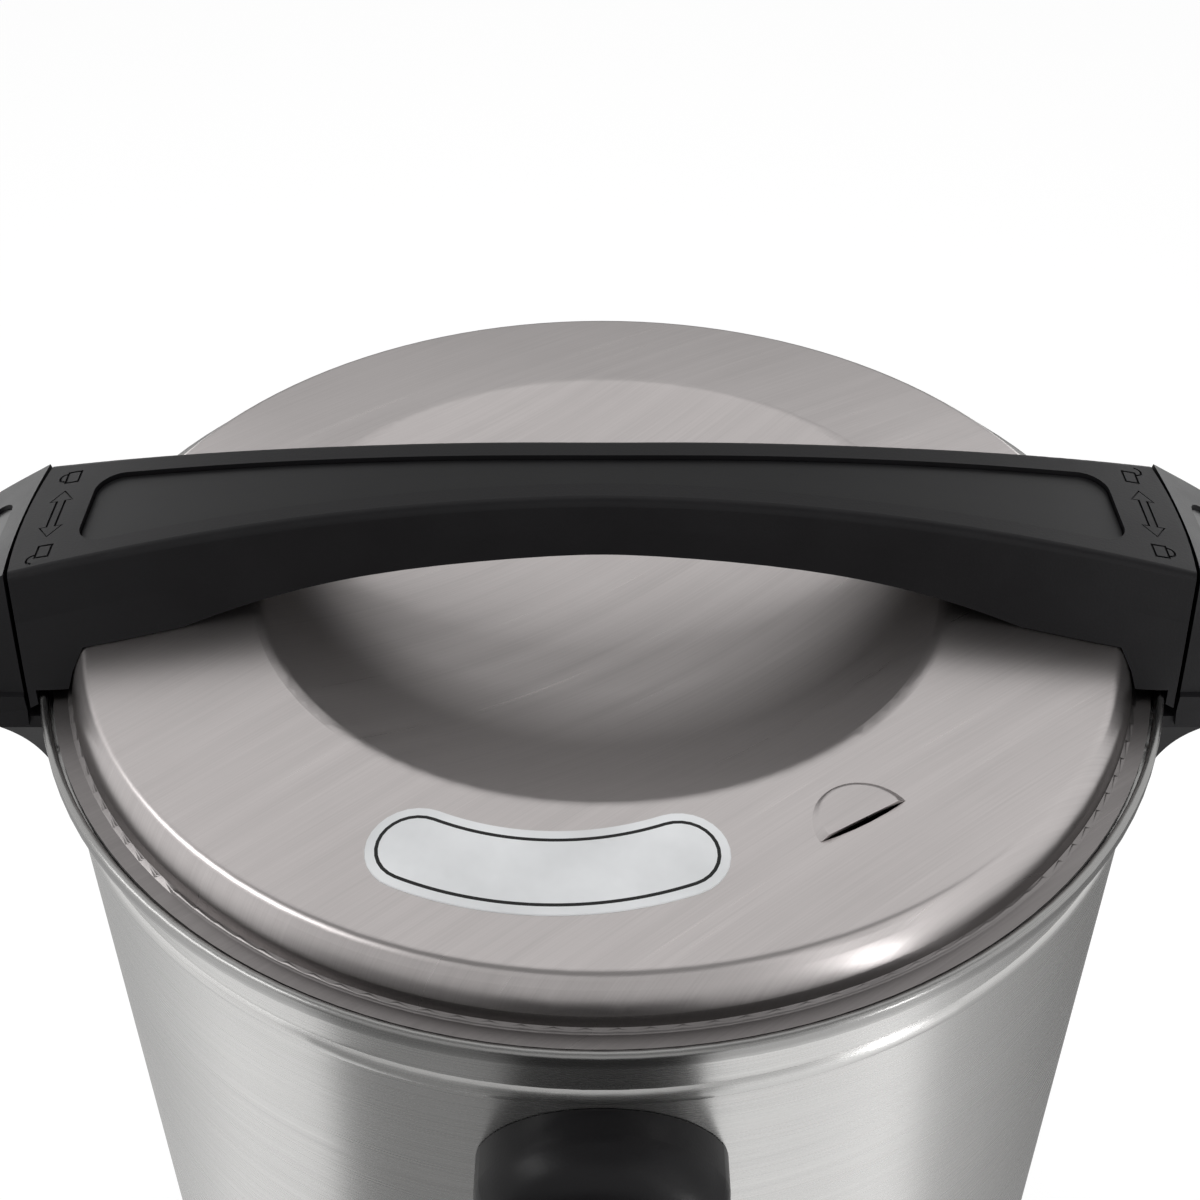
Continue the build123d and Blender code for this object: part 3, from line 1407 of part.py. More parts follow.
with BuildPart() as base_housing:
    with BuildSketch(Plane.XZ):
        with BuildLine():
            Polyline(
                (base_radius - base_chamfer, base_low), (base_inner, base_low),
                (base_inner, ledge_high - ledge_sheet),
                (base_inner - ledge_width, ledge_high - ledge_sheet),
                (base_inner - ledge_width, ledge_high), (lip_inner, ledge_high),
                (lip_inner, base_high), (base_radius - base_round, base_high),
            )
            bulge = base_round * (1 - sin(radians(45)))
            ThreePointArc(
                (base_radius - base_round, base_high), (base_radius - bulge, base_high - bulge),
                (base_radius, base_high - base_round),
            )
            Polyline(
                (base_radius, base_high - base_round), (base_radius, base_low + base_chamfer),
                (base_radius - base_chamfer, base_low),
            )
        make_face()
    revolve(axis=Axis.Z)
    for angle in boss_angles:
        with Locations(at_ring(boss_ring, angle, plate_high + face_gap)):
            Cylinder(boss_radius, boss_height, align=(Align.CENTER, Align.CENTER, Align.MIN))
        with Locations(Location(at_ring(boss_ring, angle, plate_high + face_gap), (0, 0, angle))):
            Box(
                base_inner - boss_ring + 1, base_wall, boss_height,
                align=(Align.MIN, Align.CENTER, Align.MIN),
            )
        with Locations(at_ring(boss_ring, angle, plate_high)):
            Cylinder(
                plate_screw_radius + face_gap, boss_height - 4,
                align=(Align.CENTER, Align.CENTER, Align.MIN), mode=Mode.SUBTRACT,
            )
    block(
        panel_window_half, -panel_face - 5, -body_radius + 20, panel_window_low,
        panel_window_high, Mode.SUBTRACT,
    )
    block(
        inlet_window_half, inlet_face + 5, body_radius - 20, inlet_window_low,
        inlet_window_high, Mode.SUBTRACT,
    )
base_housing.part.label = "base_housing"
export_step(base_housing.part, "parts/base_housing.step")

foot_angles = (45, 135, 225, 315)
stud_angles = (30, 150, 270)
stud_end = 2.2
stud_nut_radius = 4.6
stud_nut_height = 3.6
foot_stem = 4.0
slot_ring = 78.0
slot_length = 30.0
slot_width = 4.0
with BuildPart() as base_plate:
    with Locations((0, 0, plate_low)):
        Cylinder(plate_radius, plate_sheet, align=(Align.CENTER, Align.CENTER, Align.MIN))
    for ring, angles, radius in (
        (foot_ring, foot_angles, foot_stem + fit_gap),
        (stud_ring, stud_angles, stud_radius + fit_gap),
        (boss_ring, boss_angles, plate_screw_radius + fit_gap),
    ):
        for angle in angles:
            with Locations(at_ring(ring, angle, plate_low)):
                Cylinder(radius, 4 * plate_sheet, mode=Mode.SUBTRACT)
    # ventilation slots
    with BuildSketch(Plane.XY.offset(plate_low - 1)):
        for angle in range(15, 375, 30):
            with Locations(Location(at_ring(slot_ring, angle, 0), (0, 0, angle))):
                SlotOverall(slot_length, slot_width)
    extrude(amount=plate_sheet + 2, mode=Mode.SUBTRACT)
base_plate.part.label = "base_plate"
export_step(base_plate.part, "parts/base_plate.step")

with BuildPart() as plate_screws:
    for angle in boss_angles:
        with Locations(at_ring(boss_ring, angle, plate_low - thread_gap)):
            Cylinder(
                plate_screw_head, plate_screw_head_height,
                align=(Align.CENTER, Align.CENTER, Align.MAX),
            )
            Cylinder(
                plate_screw_radius, plate_screw_length,
                align=(Align.CENTER, Align.CENTER, Align.MIN),
            )
        with BuildSketch(Plane.XY.offset(plate_low - thread_gap - plate_screw_head_height)):
            with Locations(at_ring(boss_ring, angle, 0)):
                RegularPolygon(hex_radius, 6)
        extrude(amount=hex_depth, mode=Mode.SUBTRACT)
plate_screws.part.label = "plate_screws"
export_step(plate_screws.part, "parts/plate_screws.step")

with BuildPart() as rubber_feet:
    with BuildSketch(Plane.XZ):
        with BuildLine():
            Polyline(
                (0, 0), (foot_radius - 2, 0), (foot_radius, plate_low - thread_gap),
                (foot_stem, plate_low - thread_gap), (foot_stem, plate_high + 0.2),
                (foot_stem + 1.5, plate_high + 0.2), (foot_stem - 0.5, plate_high + 4.5),
                (0, plate_high + 4.5), close=True,
            )
        make_face()
    one_foot = revolve(axis=Axis.Z, mode=Mode.PRIVATE)
    for angle in foot_angles:
        with Locations(at_ring(foot_ring, angle, 0)):
            add(one_foot)
rubber_feet.part.label = "rubber_feet"
export_step(rubber_feet.part, "parts/rubber_feet.step")

with BuildPart() as floor_studs:
    for angle in stud_angles:
        with Locations(at_ring(stud_ring, angle, floor_under)):
            Cylinder(stud_radius, floor_under - stud_end, align=(Align.CENTER, Align.CENTER, Align.MAX))
            Cylinder(stud_radius + 2, 2, align=(Align.CENTER, Align.CENTER, Align.MAX))
floor_studs.part.label = "floor_studs"
export_step(floor_studs.part, "parts/floor_studs.step")

with BuildPart() as stud_nuts:
    for angle in stud_angles:
        with BuildSketch(Plane.XY.offset(plate_low - thread_gap)):
            with Locations(at_ring(stud_ring, angle, 0)):
                RegularPolygon(stud_nut_radius, 6)
                Circle(stud_radius + thread_gap, mode=Mode.SUBTRACT)
        extrude(amount=-stud_nut_height)
stud_nuts.part.label = "stud_nuts"
export_step(stud_nuts.part, "parts/stud_nuts.step")

# ---------------------------------------------------------------- control panel
panel_sheet = 2.5
panel_back = base_radius + face_gap
panel_mid = (panel_low + panel_high) / 2
plug_half = panel_window_half - slide_gap
plug_wall = 2.0
panel_corner = 7.0
panel_round = 1.5
plug_end = body_radius - 9
switch_middle = -20.0
switch_half = 10.0
switch_rise = 15.0
switch_flange = 1.7         # overlap of the switch's frame on the panel
switch_depth = 22.0
blade_pitch = 8.0
lamp_spots = (8.0, 28.0)
lamp_radius = 5.0
lamp_depth = 9.0
lamp_flange = 1.5
with BuildPart() as control_panel:
    block(panel_half, -panel_face, -body_radius + 12, panel_low, panel_high)
    fillet(edges().filter_by(Axis.Y), panel_corner)
    with Locations((0, 0, panel_mid)):
        Cylinder(panel_back, panel_high, mode=Mode.SUBTRACT)
    fillet(faces().sort_by(Axis.Y)[0].edges(), panel_round)
    plug_low = panel_window_low + slide_gap
    plug_high = panel_window_high - slide_gap
    block(plug_half, -panel_back - 1, -plug_end, plug_low, plug_high)
    block(
        plug_half - plug_wall, -panel_face + panel_sheet, -plug_end + 5,
        plug_low + plug_wall, plug_high - plug_wall, Mode.SUBTRACT,
    )
    with Locations((switch_middle, -panel_face, panel_mid)):
        Box(
            2 * (switch_half - switch_flange + fit_gap), 20,
            2 * (switch_rise - switch_flange + fit_gap), mode=Mode.SUBTRACT,
        )
    for x in lamp_spots:
        rod((x, -panel_face + 10, panel_mid), 20, lamp_radius + fit_gap, Mode.SUBTRACT)
control_panel.part.label = "control_panel"
export_step(control_panel.part, "parts/control_panel.step")

rocker_half = 7.0
rocker_rise = 11.6
rocker_pivot = panel_face - 0.3
rocker_tilt = 10.0
rocker_pin = 1.4
with BuildPart() as switch_body:
    with Locations((switch_middle, -panel_face - thread_gap, panel_mid)):
        Box(2 * switch_half, 1.5, 2 * switch_rise, align=(Align.CENTER, Align.MAX, Align.CENTER))
    fillet(edges().filter_by(Axis.Y), 2)
    with Locations((switch_middle, -panel_face - thread_gap, panel_mid)):
        Box(
            2 * (switch_half - switch_flange), switch_depth, 2 * (switch_rise - switch_flange),
            align=(Align.CENTER, Align.MIN, Align.CENTER),
        )
    for step in (-blade_pitch, 0, blade_pitch):
        with Locations((switch_middle, -panel_face + switch_depth - 1, panel_mid + step)):
            Box(4.8, 8, blade_sheet, align=(Align.CENTER, Align.MIN, Align.CENTER))
    with Locations((switch_middle, -panel_face - 2, panel_mid)):
        Box(
            2 * (rocker_half + 0.3), 10, 2 * (rocker_rise + 0.8),
            align=(Align.CENTER, Align.MIN, Align.CENTER), mode=Mode.SUBTRACT,
        )
    with Locations((switch_middle, -rocker_pivot, panel_mid)):
        Cylinder(
            rocker_pin + pin_gap, 2 * (rocker_half + 1.0), rotation=(0, 90, 0), mode=Mode.SUBTRACT
        )
switch_body.part.label = "switch_body"
export_step(switch_body.part, "parts/switch_body.step")

with BuildPart() as switch_rocker:
    tip = rocker_rise - 0.2
    rocker_plane = Plane(
        origin=(switch_middle - rocker_half, -rocker_pivot, panel_mid),
        x_dir=(0, -sin(radians(rocker_tilt)), cos(radians(rocker_tilt))),
        z_dir=(1, 0, 0),
    )
    with BuildSketch(rocker_plane):
        with BuildLine():
            Polyline(
                (-tip, 0.0), (-tip, 3.0), (0, 1.9), (tip, 3.0), (tip, 0.0), (4, -3.8), (-4, -3.8),
                close=True,
            )
        make_face()
    extrude(amount=2 * rocker_half)
    with Locations((switch_middle, -rocker_pivot, panel_mid)):
        Cylinder(rocker_pin, 2 * (rocker_half + 0.9), rotation=(0, 90, 0))
switch_rocker.part.label = "switch_rocker"
export_step(switch_rocker.part, "parts/switch_rocker.step")


def lamp(x):
    """Indicator lens with its flange, and the lamp holder behind it."""
    rod((x, -panel_face + lamp_depth, panel_mid), lamp_depth + 1, lamp_radius)
    rod((x, -panel_face - thread_gap, panel_mid), 1.2, lamp_radius + lamp_flange)
    fillet(faces().sort_by(Axis.Y)[0].edges(), 0.8)


with BuildPart() as power_lamp:
    lamp(lamp_spots[0])
power_lamp.part.label = "power_lamp"
export_step(power_lamp.part, "parts/power_lamp.step")

with BuildPart() as ready_lamp:
    lamp(lamp_spots[1])
ready_lamp.part.label = "ready_lamp"
export_step(ready_lamp.part, "parts/ready_lamp.step")

# ---------------------------------------------------------------- mains inlet
inlet_mid = (inlet_low + inlet_high) / 2
socket_half = 12.3
socket_rise = 8.4
socket_depth = 16.0
inlet_end = inlet_face - 22
inlet_corner = 5.0
inlet_round = 1.2
with BuildPart() as power_inlet:
    block(inlet_half, inlet_face, inlet_end, inlet_low, inlet_high)
    fillet(edges().filter_by(Axis.Y), inlet_corner)
    with Locations((0, 0, inlet_mid)):
        Cylinder(panel_back, inlet_high, mode=Mode.SUBTRACT)
    fillet(faces().sort_by(Axis.Y)[-1].edges(), inlet_round)
    block(
        inlet_window_half - slide_gap, inlet_face - 1.5, inlet_end,
        inlet_window_low + slide_gap, inlet_window_high - slide_gap,
    )
    block(
        socket_half, inlet_face + 1, inlet_face - socket_depth,
        inlet_mid - socket_rise, inlet_mid + socket_rise, Mode.SUBTRACT,
    )
power_inlet.part.label = "power_inlet"
export_step(power_inlet.part, "parts/power_inlet.step")

inlet_pin = (2.0, 13.0, 4.0)
tail_length = 6.0
pin_spots = ((-7.0, -2.0), (0.0, 2.0), (7.0, -2.0))
with BuildPart() as inlet_pins:
    for x, step in pin_spots:
        with Locations((x, inlet_face - socket_depth + weld_gap, inlet_mid + step)):
            Box(*inlet_pin, align=(Align.CENTER, Align.MIN, Align.CENTER))
        with Locations((x, inlet_end - weld_gap, inlet_mid + step)):
            Box(inlet_pin[0], tail_length, inlet_pin[2], align=(Align.CENTER, Align.MAX, Align.CENTER))
inlet_pins.part.label = "inlet_pins"
export_step(inlet_pins.part, "parts/inlet_pins.step")

block_mid = 60.0
block_depth = 16.0
lead_gap = 0.3              # end of a lead to the blade or terminal it is crimped on
block_top = plate_high + 12.0
with BuildPart() as terminal_block:
    block(
        20, block_mid - block_depth / 2, block_mid + block_depth / 2, plate_high + thread_gap,
        block_top,
    )
    for x in (-13.5, -4.5, 4.5, 13.5):
        with Locations((x, block_mid, block_top)):
            Cylinder(2.6, 10, mode=Mode.SUBTRACT)
terminal_block.part.label = "terminal_block"
export_step(terminal_block.part, "parts/terminal_block.step")

wire_radius = 1.3
wire_bend = 6.0
block_back = block_mid + block_depth / 2 + lead_gap
block_front = block_mid - block_depth / 2 - lead_gap
block_wire = plate_high + 6.0
inlet_tail = inlet_end - tail_length - lead_gap
blade_end = floor_under - cutout_flange - cutout_case - blade_length - lead_gap
element_end = element_height - element_pin - lead_gap
element_x = element_radius * cos(radians(element_gap_angle / 2))
element_y = element_radius * sin(radians(element_gap_angle / 2))
thermostat_spot = at_ring(cutout_ring, thermostat_angle, 0)
switch_tail = -panel_face + switch_depth + 7 + lead_gap
lamp_tail = -panel_face + lamp_depth + lead_gap
well_post = well_heater_ring
well_post_end = well_heater_low - well_post_length - lead_gap
thermostat_x, thermostat_y = thermostat_spot[0], thermostat_spot[1]
wire_runs = (
    # inlet to terminal block
    (
        (-7, inlet_tail, inlet_mid - 2), (-7, inlet_end - 27, inlet_mid - 2),
        (-13.5, 80, block_wire), (-13.5, block_back, block_wire),
    ),
    (
        (7, inlet_tail, inlet_mid - 2), (7, inlet_end - 27, inlet_mid - 2),
        (13.5, 80, block_wire), (13.5, block_back, block_wire),
    ),
    (
        (0, inlet_tail, inlet_mid + 2), (0, inlet_end - 30, inlet_mid + 2),
        (4.5, 80, block_wire), (4.5, block_back, block_wire),
    ),
    # terminal block to switch, thermostat, cutout and the two heaters
    (
        (-13.5, block_front, block_wire), (-13.5, 20, block_wire), (-40, 0, 30),
        (switch_middle, 50.5 - panel_face, panel_mid), (switch_middle, switch_tail, panel_mid),
    ),
    (
        (switch_middle, switch_tail, panel_mid + 8), (switch_middle, 47.5 - panel_face, panel_mid + 8),
        (-58, 65.5 - panel_face, 40), (thermostat_x + blade_half_pitch, thermostat_y, 40),
        (thermostat_x + blade_half_pitch, thermostat_y, blade_end),
    ),
    (
        (thermostat_x - blade_half_pitch, thermostat_y, blade_end),
        (thermostat_x - blade_half_pitch, thermostat_y, 54),
        (-cutout_ring - blade_half_pitch, 0, 54), (-cutout_ring - blade_half_pitch, 0, blade_end),
    ),
    (
        (-cutout_ring + blade_half_pitch, 0, blade_end),
        (-cutout_ring + blade_half_pitch, 0, 45), (-60, -14, 35),
        (element_x, -element_y, 35), (element_x, -element_y, element_end),
    ),
    (
        (4.5, block_front, block_wire), (4.5, 40, block_wire),
        (element_x, element_y, 30), (element_x, element_y, element_end),
    ),
    (
        (13.5, block_front, block_wire), (13.5, 34, block_wire),
        (well_post, 0, 32), (well_post, 0, well_post_end),
    ),
    (
        (-4.5, block_front, block_wire), (-4.5, 30, block_wire),
        (-well_post, 0, 34), (-well_post, 0, well_post_end),
    ),
    # lamps to terminal block
    (
        (lamp_spots[0], lamp_tail, panel_mid), (lamp_spots[0], 45.5 - panel_face, panel_mid), (-4.5, -60, 42),
        (-4.5, block_mid, 42), (-4.5, block_mid, block_top - 4),
    ),
    (
        (lamp_spots[1], lamp_tail, panel_mid), (lamp_spots[1], 45.5 - panel_face, panel_mid), (4.5, -60, 42),
        (4.5, block_mid, 42), (4.5, block_mid, block_top - 4),
    ),
)
with BuildPart() as lead_wires:
    for run in wire_runs:
        with BuildLine() as path:
            FilletPolyline(*run, radius=wire_bend)
        with BuildSketch(Plane(origin=path.line @ 0, z_dir=path.line % 0)):
            Circle(wire_radius)
        sweep(path=path.line)
lead_wires.part.label = "lead_wires"
export_step(lead_wires.part, "parts/lead_wires.step")
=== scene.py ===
"""Coffee urn: finishes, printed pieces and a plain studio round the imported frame."""

import math

import bmesh
import bpy
from bpy.props import FloatProperty, FloatVectorProperty, IntProperty, PointerProperty
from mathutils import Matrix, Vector


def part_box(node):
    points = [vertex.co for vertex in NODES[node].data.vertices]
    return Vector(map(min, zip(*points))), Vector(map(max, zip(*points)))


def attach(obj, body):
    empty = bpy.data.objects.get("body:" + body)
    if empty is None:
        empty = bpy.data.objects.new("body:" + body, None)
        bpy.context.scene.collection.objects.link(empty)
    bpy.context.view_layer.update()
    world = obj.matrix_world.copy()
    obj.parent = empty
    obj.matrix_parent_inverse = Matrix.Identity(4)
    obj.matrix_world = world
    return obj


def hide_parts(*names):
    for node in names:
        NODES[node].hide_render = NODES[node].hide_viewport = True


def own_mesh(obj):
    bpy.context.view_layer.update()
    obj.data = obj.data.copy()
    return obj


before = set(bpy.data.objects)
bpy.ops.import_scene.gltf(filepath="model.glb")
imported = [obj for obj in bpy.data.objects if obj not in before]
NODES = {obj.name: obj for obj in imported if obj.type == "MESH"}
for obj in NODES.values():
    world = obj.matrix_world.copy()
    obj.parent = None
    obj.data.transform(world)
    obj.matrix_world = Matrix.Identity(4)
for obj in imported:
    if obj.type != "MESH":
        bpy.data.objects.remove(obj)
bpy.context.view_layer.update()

bl_info = {
    "name": "Coffee urn",
    "version": (1, 0, 0),
    "blender": (4, 5, 0),
    "location": "View3D > Sidebar > Urn",
    "description": "Finishes and dresses a packed coffee urn, piece by piece",
    "category": "Object",
}

MM = 0.001
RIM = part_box("body_shell")[1].z
# where painted shade darkens the steel towards the seam between lid and tank: height on the wall,
# radius on the lid
WALL_SEAM_SHADE = (404.5 * MM, 408 * MM)
LID_SEAM_SHADE = (130.5 * MM, 133.5 * MM)
# the lid's sloped ring: radius, and height over the rim, at its inner and outer edge
PLATEAU_INNER = (86 * MM, 14.3 * MM)
PLATEAU_OUTER = (128.7 * MM, 9.9 * MM)
# bump heights of brushed steel, satin steel and moulded plastic
BRUSH_DEPTH = 0.02 * MM
SATIN_DEPTH = 0.01 * MM
MOULD_DEPTH = 0.05 * MM
PLASTIC_SHINE = 0.16
# range in which most of a noise texture lies
NOISE_LOW = 0.3
NOISE_HIGH = 0.7
# vertices nearer than this are one
MERGE_REACH = 0.001 * MM
# label: rounded edge, gap over the lid, and steps along its sides and round its ends
LABEL_EDGE = 0.15 * MM
LABEL_GAP = 0.02 * MM
LABEL_SIDE_STEPS = 40
LABEL_END_STEPS = 14
LABEL_LINE_BAND = 3
# gauge: every fourth mark is a long one
LONG_EVERY = 4.0
MARK_DEPTH = 0.12 * MM
SENSOR_WIDTH = 36
VIEW_SHIFT = -2 / 1200
FLOOR_REACH = 6
FLOOR_DROP = 0.2 * MM
FLOOR_GLOW = 0.83
# cards: height of the lowest over the floor, and degrees between their steps
CARD_LIFT = 1 * MM
CARD_STEP = 4
# lamps: name, place, target, width and length, watts, whether gloss shows them
LAMPS = (
    ("overhead", (0, 0.25, 1.55), (0, 0.05, 0.40), (1.3, 1.1), 4.5, False),
    ("right_box", (0.80, -0.75, 0.55), (0, 0, 0.30), (0.12, 1.0), 4.2, True),
    ("left_box", (-1.05, -0.35, 1.05), (0, 0, 0.42), (1.0, 0.4), 4, True),
)
# cards: name, knots, inner and outer radius, height of the level part and of the top edge
CARDS = (
    (
        "front_card", ((-50, 0.30), (-20, 0.28), (-14, 0.03), (14, 0.03), (18, 0.3)),
        0.17, 0.95, 0.0, 0.36,
    ),
    ("front_rise", ((-50, 0.68), (60, 0.68)), 0.95, 0.95, 0.36, 1.30),
    (
        "side_card", (
            (62, 0.66), (82, 0.44), (100, 0.28), (123, 0.14), (145, 0.12), (180, 0.28),
            (205, 0.34), (213, 0.38), (240, 0.45), (262, 0.64), (282, 0.98),
        ),
        0.16, 1.0, 0.0, 0.02,
    ),
    ("right_ear_card", ((122, 2.6), (150, 2.6)), 0.98, 1.0, 0.30, 0.70),
    ("left_ear_card", ((210, 2.6), (238, 2.6)), 0.98, 1.0, 0.30, 0.70),
    ("rear_card", ((150, 0.30), (210, 0.30)), 0.98, 1.0, 0.0, 0.72),
    ("rear_band", ((158, 0.55), (202, 0.55)), 1.0, 1.0, 0.95, 1.25),
    ("top_card", ((-100, 0.30), (100, 0.30)), 0.02, 1.10, 1.6, 1.6),
)


# ---------------------------------------------------------------- sizes and colours
class UrnMetal(bpy.types.PropertyGroup):
    """Colours and brushing of the stainless steel."""

    wall_color: FloatVectorProperty(
        name="Wall colour", description="Tint of the tank wall", subtype="COLOR", size=3,
        min=0, max=1, default=(0.58, 0.575, 0.565),
    )
    lid_color: FloatVectorProperty(
        name="Lid colour", description="Tint of the lid", subtype="COLOR", size=3,
        min=0, max=1, default=(0.484, 0.455, 0.450),
    )
    wall_roughness: FloatProperty(
        name="Wall roughness", description="Softness of the wall's reflections",
        min=0, max=1, default=0.27, subtype="FACTOR",
    )
    lid_roughness: FloatProperty(
        name="Lid roughness", description="Softness of the lid's reflections",
        min=0, max=1, default=0.30, subtype="FACTOR",
    )
    grain_turn: FloatProperty(
        name="Lid grain direction", description="Direction of the lid's straight grain",
        subtype="ANGLE", default=math.radians(38),
    )


class UrnPlastic(bpy.types.PropertyGroup):
    """Colours of the moulded pieces."""

    moulding_color: FloatVectorProperty(
        name="Moulding colour", description="Colour of handles, column and base",
        subtype="COLOR", size=3, min=0, max=1, default=(0.0075, 0.0072, 0.0080),
    )
    moulding_roughness: FloatProperty(
        name="Moulding roughness", description="Roughness of the textured mouldings",
        min=0, max=1, default=0.42, subtype="FACTOR",
    )
    inlay_color: FloatVectorProperty(
        name="Inlay colour", description="Colour of the panels set into the handles",
        subtype="COLOR", size=3, min=0, max=1, default=(0.0090, 0.0090, 0.0095),
    )
    inlay_roughness: FloatProperty(
        name="Inlay roughness", description="Roughness of the inlays",
        min=0, max=1, default=0.34, subtype="FACTOR",
    )


class UrnLabel(bpy.types.PropertyGroup):
    """Blank kidney-shaped plate on the lid."""

    place: FloatVectorProperty(
        name="Place", description="Middle of the plate, seen from above", size=2,
        default=(-11.7 * MM, -104.1 * MM), subtype="XYZ_LENGTH",
    )
    bend: FloatProperty(
        name="Bend", description="Radius of the plate's curved middle line", default=69.4 * MM,
        unit="LENGTH",
    )
    half_width: FloatProperty(
        name="Half width", description="Half of the plate's width", default=10.7 * MM,
        unit="LENGTH",
    )
    half_turn: FloatProperty(
        name="Half turn", description="How far the middle line turns to each side",
        subtype="ANGLE", default=math.radians(23.7),
    )
    tilt: FloatProperty(
        name="Tilt", description="Turn of the plate off the urn's own line", subtype="ANGLE",
        default=math.radians(-2.1),
    )
    border: FloatProperty(
        name="Border", description="Edge to the printed line", default=2.1 * MM, unit="LENGTH",
    )
    line: FloatProperty(
        name="Line", description="Width of the printed line", default=0.8 * MM, unit="LENGTH",
    )
    thickness: FloatProperty(
        name="Thickness", description="Thickness of the plate", default=0.25 * MM, unit="LENGTH",
    )


class UrnGauge(bpy.types.PropertyGroup):
    """Marks on the level gauge."""

    marks: IntProperty(
        name="Marks", description="Number of marks on the gauge", default=25, min=2, max=60,
    )
    mark_length: FloatProperty(
        name="Mark length", description="Length of a short mark", default=2.6 * MM, unit="LENGTH",
    )
    mark_width: FloatProperty(
        name="Mark width", description="Thickness of a mark", default=0.6 * MM, unit="LENGTH",
    )
    low: FloatProperty(
        name="Lowest mark", description="Height of the lowest mark", default=150 * MM,
        unit="LENGTH",
    )
    high: FloatProperty(
        name="Highest mark", description="Height of the highest mark", default=318 * MM,
        unit="LENGTH",
    )
    left: FloatProperty(
        name="Left edge", description="Column's middle to the marks", default=6.4 * MM,
        unit="LENGTH",
    )
    face: FloatProperty(
        name="Face", description="Urn's axis to the column's face", default=154.6 * MM,
        unit="LENGTH",
    )


class UrnStage(bpy.types.PropertyGroup):
    """Camera, lamps and floor."""

    lens: FloatProperty(
        name="Lens", description="Focal length on a 36 mm sensor, in millimetres", default=52.24,
    )
    camera_back: FloatProperty(
        name="Camera distance", description="Urn's axis to the camera", default=349.8 * MM,
        unit="LENGTH",
    )
    camera_rise: FloatProperty(
        name="Camera rise", description="Rim to the camera's height", default=282.7 * MM,
        unit="LENGTH",
    )
    camera_tilt: FloatProperty(
        name="Camera tilt", description="How far the camera looks down", subtype="ANGLE",
        default=math.radians(38.83),
    )
    world_strength: FloatProperty(
        name="World", description="Strength of the light from all round", default=0.55, min=0,
    )


GROUPS = (UrnMetal, UrnPlastic, UrnLabel, UrnGauge, UrnStage)
GROUP_NAMES = ("urn_metal", "urn_plastic", "urn_label", "urn_gauge", "urn_stage")


# ---------------------------------------------------------------- shader groups
def new_group(name, inputs, outputs):
    """Empty shader group with named float or vector sockets."""
    tree = bpy.data.node_groups.new(name, "ShaderNodeTree")
    kinds = {"f": "NodeSocketFloat", "v": "NodeSocketVector"}
    for label, kind, default in inputs:
        item = tree.interface.new_socket(label, in_out="INPUT", socket_type=kinds[kind])
        if default is not None:
            item.default_value = default
    for label, kind in outputs:
        tree.interface.new_socket(label, in_out="OUTPUT", socket_type=kinds[kind])
    return tree, tree.nodes.new("NodeGroupInput"), tree.nodes.new("NodeGroupOutput")


def node(tree, kind, settings=None, **inputs):
    """New node with its settings and input values; a value that is a socket is linked."""
    made = tree.nodes.new(kind)
    for key, value in (settings or {}).items():
        setattr(made, key, value)
    for key, value in inputs.items():
        socket = made.inputs[int(key[1:]) if key[0] == "_" else key.replace("_", " ")]
        if isinstance(value, bpy.types.NodeSocket):
            tree.links.new(value, socket)
        else:
            socket.default_value = value
    return made


def math_node(tree, operation, *values, clamp=False):
    """Result of a Math node."""
    made = tree.nodes.new("ShaderNodeMath")
    made.operation = operation
    made.use_clamp = clamp
    for index, value in enumerate(values):
        if isinstance(value, bpy.types.NodeSocket):
            tree.links.new(value, made.inputs[index])
        else:
            made.inputs[index].default_value = value
    return made.outputs[0]


def brush_group():
    """Fine scratches, long along the axes in which the scale is small."""
    tree, start, end = new_group(
        "brushed_grain", [("Vector", "v", None), ("Scale", "v", None), ("Broad", "f", 0.4)],
        [("Height", "f"), ("Tone", "f")],
    )
    place = node(
        tree, "ShaderNodeVectorMath", {"operation": "MULTIPLY"},
        _0=start.outputs["Vector"], _1=start.outputs["Scale"],
    )
    fine = node(tree, "ShaderNodeTexNoise", Vector=place.outputs[0], Scale=1.0, Detail=3.0)
    broad_place = node(
        tree, "ShaderNodeVectorMath", {"operation": "SCALE"}, _0=place.outputs[0], Scale=0.13,
    )
    broad = node(tree, "ShaderNodeTexNoise", Vector=broad_place.outputs[0], Scale=1.0, Detail=2.0)
    mixed = node(
        tree, "ShaderNodeMix", {"data_type": "FLOAT"}, _0=start.outputs["Broad"],
        _2=fine.outputs["Fac"], _3=broad.outputs["Fac"],
    )
    tree.links.new(mixed.outputs[0], end.inputs["Tone"])
    tree.links.new(fine.outputs["Fac"], end.inputs["Height"])
    return tree


def blotch_group():
    """Soft uneven patches, as handling and cleaning leave."""
    tree, start, end = new_group(
        "handling_blotches",
        [("Vector", "v", None), ("Size", "f", 0.03), ("Low", "f", 0.0), ("High", "f", 1.0)],
        [("Value", "f")],
    )
    scale = math_node(tree, "DIVIDE", 1.0, start.outputs["Size"])
    noise = node(
        tree, "ShaderNodeTexNoise", Vector=start.outputs["Vector"], Scale=scale, Detail=4.0,
        Roughness=0.55,
    )
    spread = node(
        tree, "ShaderNodeMapRange", Value=noise.outputs["Fac"], _1=NOISE_LOW, _2=NOISE_HIGH,
        _3=start.outputs["Low"], _4=start.outputs["High"],
    )
    tree.links.new(spread.outputs[0], end.inputs["Value"])
    return tree


